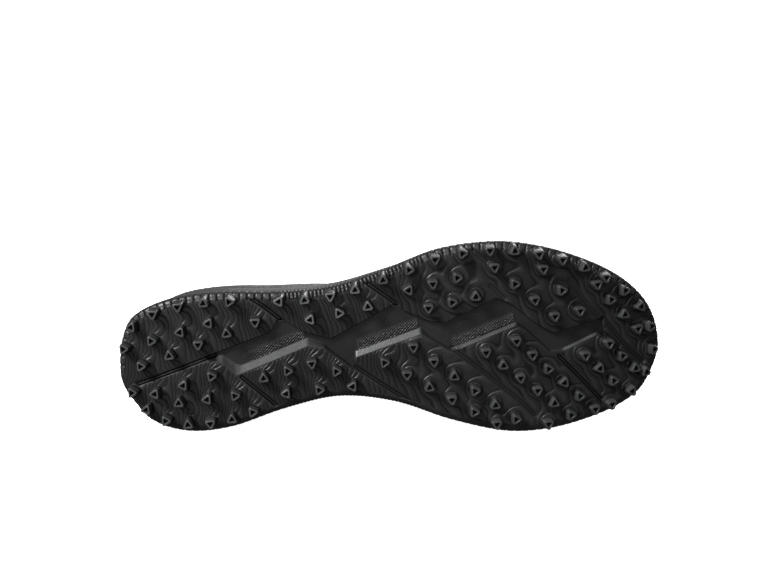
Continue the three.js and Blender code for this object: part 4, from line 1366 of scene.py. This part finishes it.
def stitchPiece():
    bpy.ops.mesh.primitive_uv_sphere_add(segments=8, ring_count=6, radius=1)
    model = bpy.context.object
    model.data.transform(Matrix.Diagonal((stitch["length"] / 2, stitch["radius"], stitch["radius"], 1)))
    lines = []
    for inset in stitch["eyestayInsets"]:
        lines += seamRuns(throatFar, upper["eyestayWidth"] - inset)
    lines += seamRuns(counterFar, stitch["counterEdge"]) + seamRuns(throatFar, stitch["throatInset"])
    isCollar = throatFar > stitch["collarFrom"]
    lines += seamRuns(np.where(isCollar, collarFar, stitch["collarBeyond"]), upper["collarBand"])
    spots = []
    for line in lines:
        length = np.sum(np.linalg.norm(np.diff(line[:, :3], axis=0), axis=1))
        count = max(2, int(length / stitch["pitch"]))
        even = alongPath(line, count)
        ways = unit(np.gradient(even[:, :3], axis=0))
        for spot, way in zip(even, ways):
            up = unit(spot[3:])
            aside = unit(np.cross(up, way))
            turn = Matrix((way, aside, np.cross(way, aside))).transposed().to_4x4()
            if (toMetres @ Vector(spot[:3])).z > stitch["floorGap"] * millimetre:
                spots.append(toMetres @ Matrix.Translation(Vector(spot[:3])) @ turn)
    piece = copiesOf(model, spots, "seamStitches")
    smoothShade(piece, 60)
    finishPiece(piece, threadMaterial, "lace_textile")
    return len(spots)


print("stitches made", stitchPiece())

# Tongue: a quilted pad under the throat, thin where the eyestays press on it
tongue = {
    "gap": 2.8,
    "thickness": 4,
    "overlap": 9,
    "rise": 12,
    "rows": 130,
    "columns": 44,
    "puff": 1.2,
    "pressed": 2.2,
    "edgeRound": 1.8,
    "pressedSides": (0.5, 0.8),
    "topWidth": 0.8,
    "toeWidth": 0.7,
    "cornerReach": 9,
    "cornerWidth": 0.55,
    "puffFade": 10,
    "quiltPitch": 15,
    "quiltStart": 7,
    "quiltDepth": 0.7,
    "quiltWidth": 1.3,
    "quiltSides": 0.6,
    "seamSide": 0.5,
}


def tonguePiece():
    tree = formTree(tongue["gap"])
    ends = throatStart - tongue["rise"], throatEnd + tongue["overlap"]
    turn = np.linspace(0, math.pi, tongue["rows"])
    closerAtEnds = ((1 - np.cos(turn)) / 2 + turn / math.pi) / 2
    xs = ends[0] + (ends[1] - ends[0]) * closerAtEnds
    across = np.sin(np.linspace(-math.pi / 2, math.pi / 2, tongue["columns"]))
    stations = (ends[0], throatStart, throatEnd, ends[1])
    width = np.interp(xs, stations, (tongue["topWidth"], 1, 1, tongue["toeWidth"]))
    tops, bottoms = [], []
    for x, share in zip(xs, width):
        half = (float(throatHalf(x)) + tongue["overlap"]) * share
        endFar = min(x - ends[0], ends[1] - x)
        corner = roundedEdge(endFar / tongue["cornerReach"])
        half *= tongue["cornerWidth"] + (1 - tongue["cornerWidth"]) * corner
        inThroat = float(ease(throatEnd - x, 0, tongue["puffFade"]))
        fromQuilt = (x - throatStart) % tongue["quiltPitch"] - tongue["quiltStart"]
        quilt = math.exp(-(fromQuilt / tongue["quiltWidth"]) ** 2)
        top, bottom = [], []
        for v in across:
            place, slope = onForm(tree, x, float(throatMiddle(x)) + half * v)
            side = abs(v)
            fromSeam = (side - tongue["seamSide"]) * half
            seam = math.exp(-(fromSeam / tongue["quiltWidth"]) ** 2)
            lines = quilt * (side < tongue["quiltSides"]) + seam
            lift = (tongue["puff"] * (1 - side ** 2) - tongue["quiltDepth"] * lines) * inThroat
            lift -= tongue["pressed"] * float(ease(side, *tongue["pressedSides"]))
            body = roundedEdge(min(half * (1 - side), endFar) / tongue["edgeRound"])
            middle = (lift - tongue["thickness"]) / 2
            thick = (lift + tongue["thickness"]) / 2 * body
            top.append(place + slope * (middle + thick))
            bottom.append(place + slope * (middle - thick))
        tops.append(top)
        bottoms.append(bottom)
    loop = np.concatenate([tops, np.array(bottoms)[:, -2::-1]], 1)
    piece = gridPiece("paddedTongue", loop)
    weld(piece, 4e-5)
    smoothShade(piece, 60)
    finishPiece(piece, liningMaterial, "lining_textile", "tongue")


tonguePiece()
print("tongue made")

# Insole: a cupped footbed with a soft edge
insole = {
    "inset": 6.7,
    "thickness": 3,
    "edge": 2.5,
    "edgeRound": 0.9,
    "cupReach": 6,
    "rows": 150,
    "columns": 36,
}


def insolePiece():
    turns = evenTurns(insole["rows"])
    outer = edgePoint(turns, np.full(len(turns), insole["inset"]))
    inner = edgePoint(-turns, np.full(len(turns), insole["inset"]))
    share = (1 - np.cos(np.linspace(0, math.pi, insole["columns"]))) / 2
    plan = outer[:, None] + (inner - outer)[:, None] * share[None, :, None]
    edgeFar = np.minimum(np.linalg.norm(plan - outer[:, None], axis=2),
                         np.linalg.norm(plan - inner[:, None], axis=2))
    edgeFar = np.minimum(edgeFar, np.minimum(plan[..., 0] - outer[0, 0], outer[-1, 0] - plan[..., 0]))
    bed = footbedHeight(plan[..., 0]) + shoe["fit"]
    body = roundedEdge(edgeFar / insole["edgeRound"])
    thick = insole["thickness"] + insole["edge"] * (1 - ease(edgeFar, 0, insole["cupReach"]))
    top = np.concatenate([plan, (bed + thick * (0.5 + 0.5 * body))[..., None]], -1)
    bottom = np.concatenate([plan, (bed + thick * (0.5 - 0.5 * body))[..., None]], -1)
    piece = gridPiece("cuppedInsole", np.concatenate([top, bottom[:, -2::-1]], 1))
    weld(piece, 4e-5)
    smoothShade(piece, 60)
    finishPiece(piece, insoleMaterial, "insole_textile", "insole")


insolePiece()
print("insole made")

# Lace: one flat woven band, straight over each pair of eyelets and hidden between them
lace = {
    "width": 6,
    "thickness": 1.3,
    "lift": 1.6,
    "narrow": 3.3,
    "bunched": 2.0,
    "below": 3.2,
    "inHole": 0.9,
    "lean": 0.7,
    "turnWidth": 4.2,
    "turnThickness": 1.8,
    "barStart": 3.4,
    "hiddenWidth": 4.4,
    "hiddenThickness": 1.1,
    "hiddenStart": 4.5,
    "hiddenAside": 1.6,
    "step": 0.8,
    "sides": 14,
    "squareness": 0.6,
}

# Eyelets in the lace's order: pair from the toe's end, and side, first run under the upper
laceOrder = [
    (5, -1), (3, -1), (3, 1), (1, 1), (1, -1), (0, -1), (0, 1), (2, 1), (2, -1), (4, -1), (4, 1),
    (5, 1), (5, -1),
]


def overRun(start, end):  # up through one eyelet, across the throat and down through the other
    way = unit(np.append(end - start, 0))
    run = []
    for eyelet, sign in ((start, 1), (end, -1)):
        place, slope = onForm(outerTree, *eyelet)
        ahead, hole = way * sign, slope * lace["inHole"]
        steps = [
            (place - slope * lace["below"], -ahead, lace["narrow"], lace["bunched"]),
            (place - hole, -ahead, lace["narrow"], lace["bunched"]),
            (place + hole + ahead * lace["lean"], unit(slope - ahead), lace["turnWidth"],
             lace["turnThickness"]),
        ]
        run.append(steps[::sign])
    length, first = np.linalg.norm(end - start), lace["barStart"]
    bar = []
    for far in (first, length * 0.3, length * 0.5, length * 0.7, length - first):
        place, slope = onForm(outerTree, *(start + way[:2] * far))
        bar.append((place + slope * lace["lift"], slope, lace["width"], lace["thickness"]))
    return run[0] + bar + run[1]


def underRun(start, end, aside):  # hidden under the upper from one eyelet to the next
    way = unit(end - start)
    length, first = np.linalg.norm(end - start), lace["hiddenStart"]
    run = []
    for far in (first, length * 0.4, length * 0.6, length - first):
        spot = start + way * far
        spot[1] += aside * math.sin(math.pi * far / length)
        place, slope = onForm(outerTree, *spot)
        run.append((place - slope * lace["below"], slope, lace["hiddenWidth"], lace["hiddenThickness"]))
    return run


def lacePiece():
    path = []
    for number, (fromEyelet, toEyelet) in enumerate(zip(laceOrder[:-1], laceOrder[1:])):
        start, end = eyeletPlace(*fromEyelet), eyeletPlace(*toEyelet)
        if number % 2:
            path += overRun(start, end)
        else:
            path += underRun(start, end, lace["hiddenAside"] * (-1 if number % 4 else 1))
    rows = np.array([np.concatenate([place, up, (width, thick)]) for place, up, width, thick in path])
    travel = np.concatenate([[0], np.cumsum(np.linalg.norm(np.diff(rows[:, :3], axis=0), axis=1))])
    at = np.linspace(0, travel[-1], int(travel[-1] / lace["step"]))
    line = np.stack([smooth(travel, rows[:, column], at) for column in range(8)], -1)
    ahead = unit(np.gradient(line[:, :3], axis=0))
    up = unit(line[:, 3:6] - np.sum(line[:, 3:6] * ahead, axis=1, keepdims=True) * ahead)
    aside = np.cross(ahead, up)
    size = np.ones(len(line))
    size[[0, -1]] = 0
    angle = np.linspace(0, 2 * math.pi, lace["sides"] + 1)
    wide, tall = [np.sign(wave) * np.abs(wave) ** lace["squareness"]
                  for wave in (np.cos(angle), np.sin(angle))]
    points = (line[:, None, :3]
              + aside[:, None] * (line[:, 6] * size / 2)[:, None, None] * wide[None, :, None]
              + up[:, None] * (line[:, 7] * size / 2)[:, None, None] * tall[None, :, None])
    piece = gridPiece("flatLace", points)
    weld(piece, 2e-5)
    smoothShade(piece, 60)
    bars = ["lace_bar_" + str(pair + 1) for pair in range(upper["eyeletPairs"])]
    finishPiece(piece, laceMaterial, "lace_textile", *bars)
    return np.sum(np.linalg.norm(np.diff(line[:, :3], axis=0), axis=1))


print("lace made", round(lacePiece()), "mm")

# Camera: square to the sole but for a tilt from the outer side, as in the photograph
view = {
    "azimuth": 0.0,
    "elevation": 16.4,
    "distance": 600,
    "imageWidth": 400.6,
    "sensor": 36,
    "pixelsAcross": 760,
    "soleCentre": (390.5, 351),
    "imageCentre": (380, 285),
}


def addCamera():
    pixel = view["imageWidth"] / view["pixelsAcross"]
    azimuth, elevation = math.radians(view["azimuth"]), math.radians(view["elevation"])
    back = Vector((math.sin(azimuth) * math.cos(elevation), -math.cos(azimuth) * math.cos(elevation),
                   math.sin(elevation)))
    middle = shoe["soleLength"] / 2
    sole = Vector(toWorld(np.array([middle, 0, float(faceHeight(middle))])))
    turn = (-back).to_track_quat("-Z", "Y")
    right, up = turn @ Vector((1, 0, 0)), turn @ Vector((0, 1, 0))
    aside = (view["soleCentre"][0] - view["imageCentre"][0]) * pixel
    below = (view["soleCentre"][1] - view["imageCentre"][1]) * pixel
    away = back * view["distance"] - right * aside + up * below
    bpy.ops.object.camera_add(location=sole + away * millimetre)
    camera = bpy.context.object
    camera.rotation_mode = "QUATERNION"
    camera.rotation_quaternion = turn
    camera.data.sensor_width = view["sensor"]
    camera.data.lens = view["sensor"] * view["distance"] / view["imageWidth"]
    camera.data.clip_start = 0.01
    bpy.context.scene.camera = camera


addCamera()

# Studio: a pale floor that curves up behind, and soft light from the upper left
studio = {
    "floorRadius": 9,
    "floorCurve": ((1.25, 0.8), (1.15, 2), (1.05, 9)),  # how each ring grows and rises
    "floorTone": 0.9,
    "aim": (0, -0.03, 0.05),
    "worldTone": 0.12,
    "keySize": 0.75,
    "keyPower": 95,
    "keyPlace": (-1.35, -0.8, 1.65),
    "fillSize": 0.9,
    "fillPower": 8,
    "fillPlace": (-0.2, -1.4, 0.8),
    "backSize": 1.0,
    "backPower": 30,
    "backPlace": (0.5, 1.6, 0.5),
}


def addLight(name, place, size, power):
    bpy.ops.object.light_add(type="AREA", location=place)
    light = bpy.context.object
    light.name = name
    light.data.size = size
    light.data.energy = power
    light.rotation_mode = "QUATERNION"
    light.rotation_quaternion = (Vector(studio["aim"]) - Vector(place)).to_track_quat("-Z", "Y")


def addStudio():
    bpy.ops.mesh.primitive_circle_add(vertices=64, radius=studio["floorRadius"], fill_type="NGON")
    floor = bpy.context.object
    floor.name = "paleFloor"
    bpy.ops.object.mode_set(mode="EDIT")
    bpy.ops.mesh.select_all(action="SELECT")
    for grow, lift in studio["floorCurve"]:
        bpy.ops.mesh.extrude_region_move(TRANSFORM_OT_translate={"value": (0, 0, lift)})
        bpy.ops.transform.resize(value=(grow, grow, 1))
    bpy.ops.mesh.delete(type="ONLY_FACE")
    bpy.ops.object.mode_set(mode="OBJECT")
    finish = Finish("palePaint")
    floor.data.materials.append(finish.surface(
        Base_Color=grey(studio["floorTone"]), Roughness=0.9,
        Emission_Color=grey(1), Emission_Strength=1.0))
    smoothShade(floor, 60)
    floor.visible_glossy = floor.visible_diffuse = floor.visible_shadow = False
    for part in ("key", "fill", "back"):
        addLight(part + "Softbox", studio[part + "Place"], studio[part + "Size"], studio[part + "Power"])
    world = bpy.context.scene.world or bpy.data.worlds.new("studioAir")
    bpy.context.scene.world = world
    world.use_nodes = True
    world.node_tree.nodes["Background"].inputs["Color"].default_value = grey(studio["worldTone"])
    bpy.context.scene.view_settings.view_transform = "Standard"


addStudio()
print("camera and studio made")
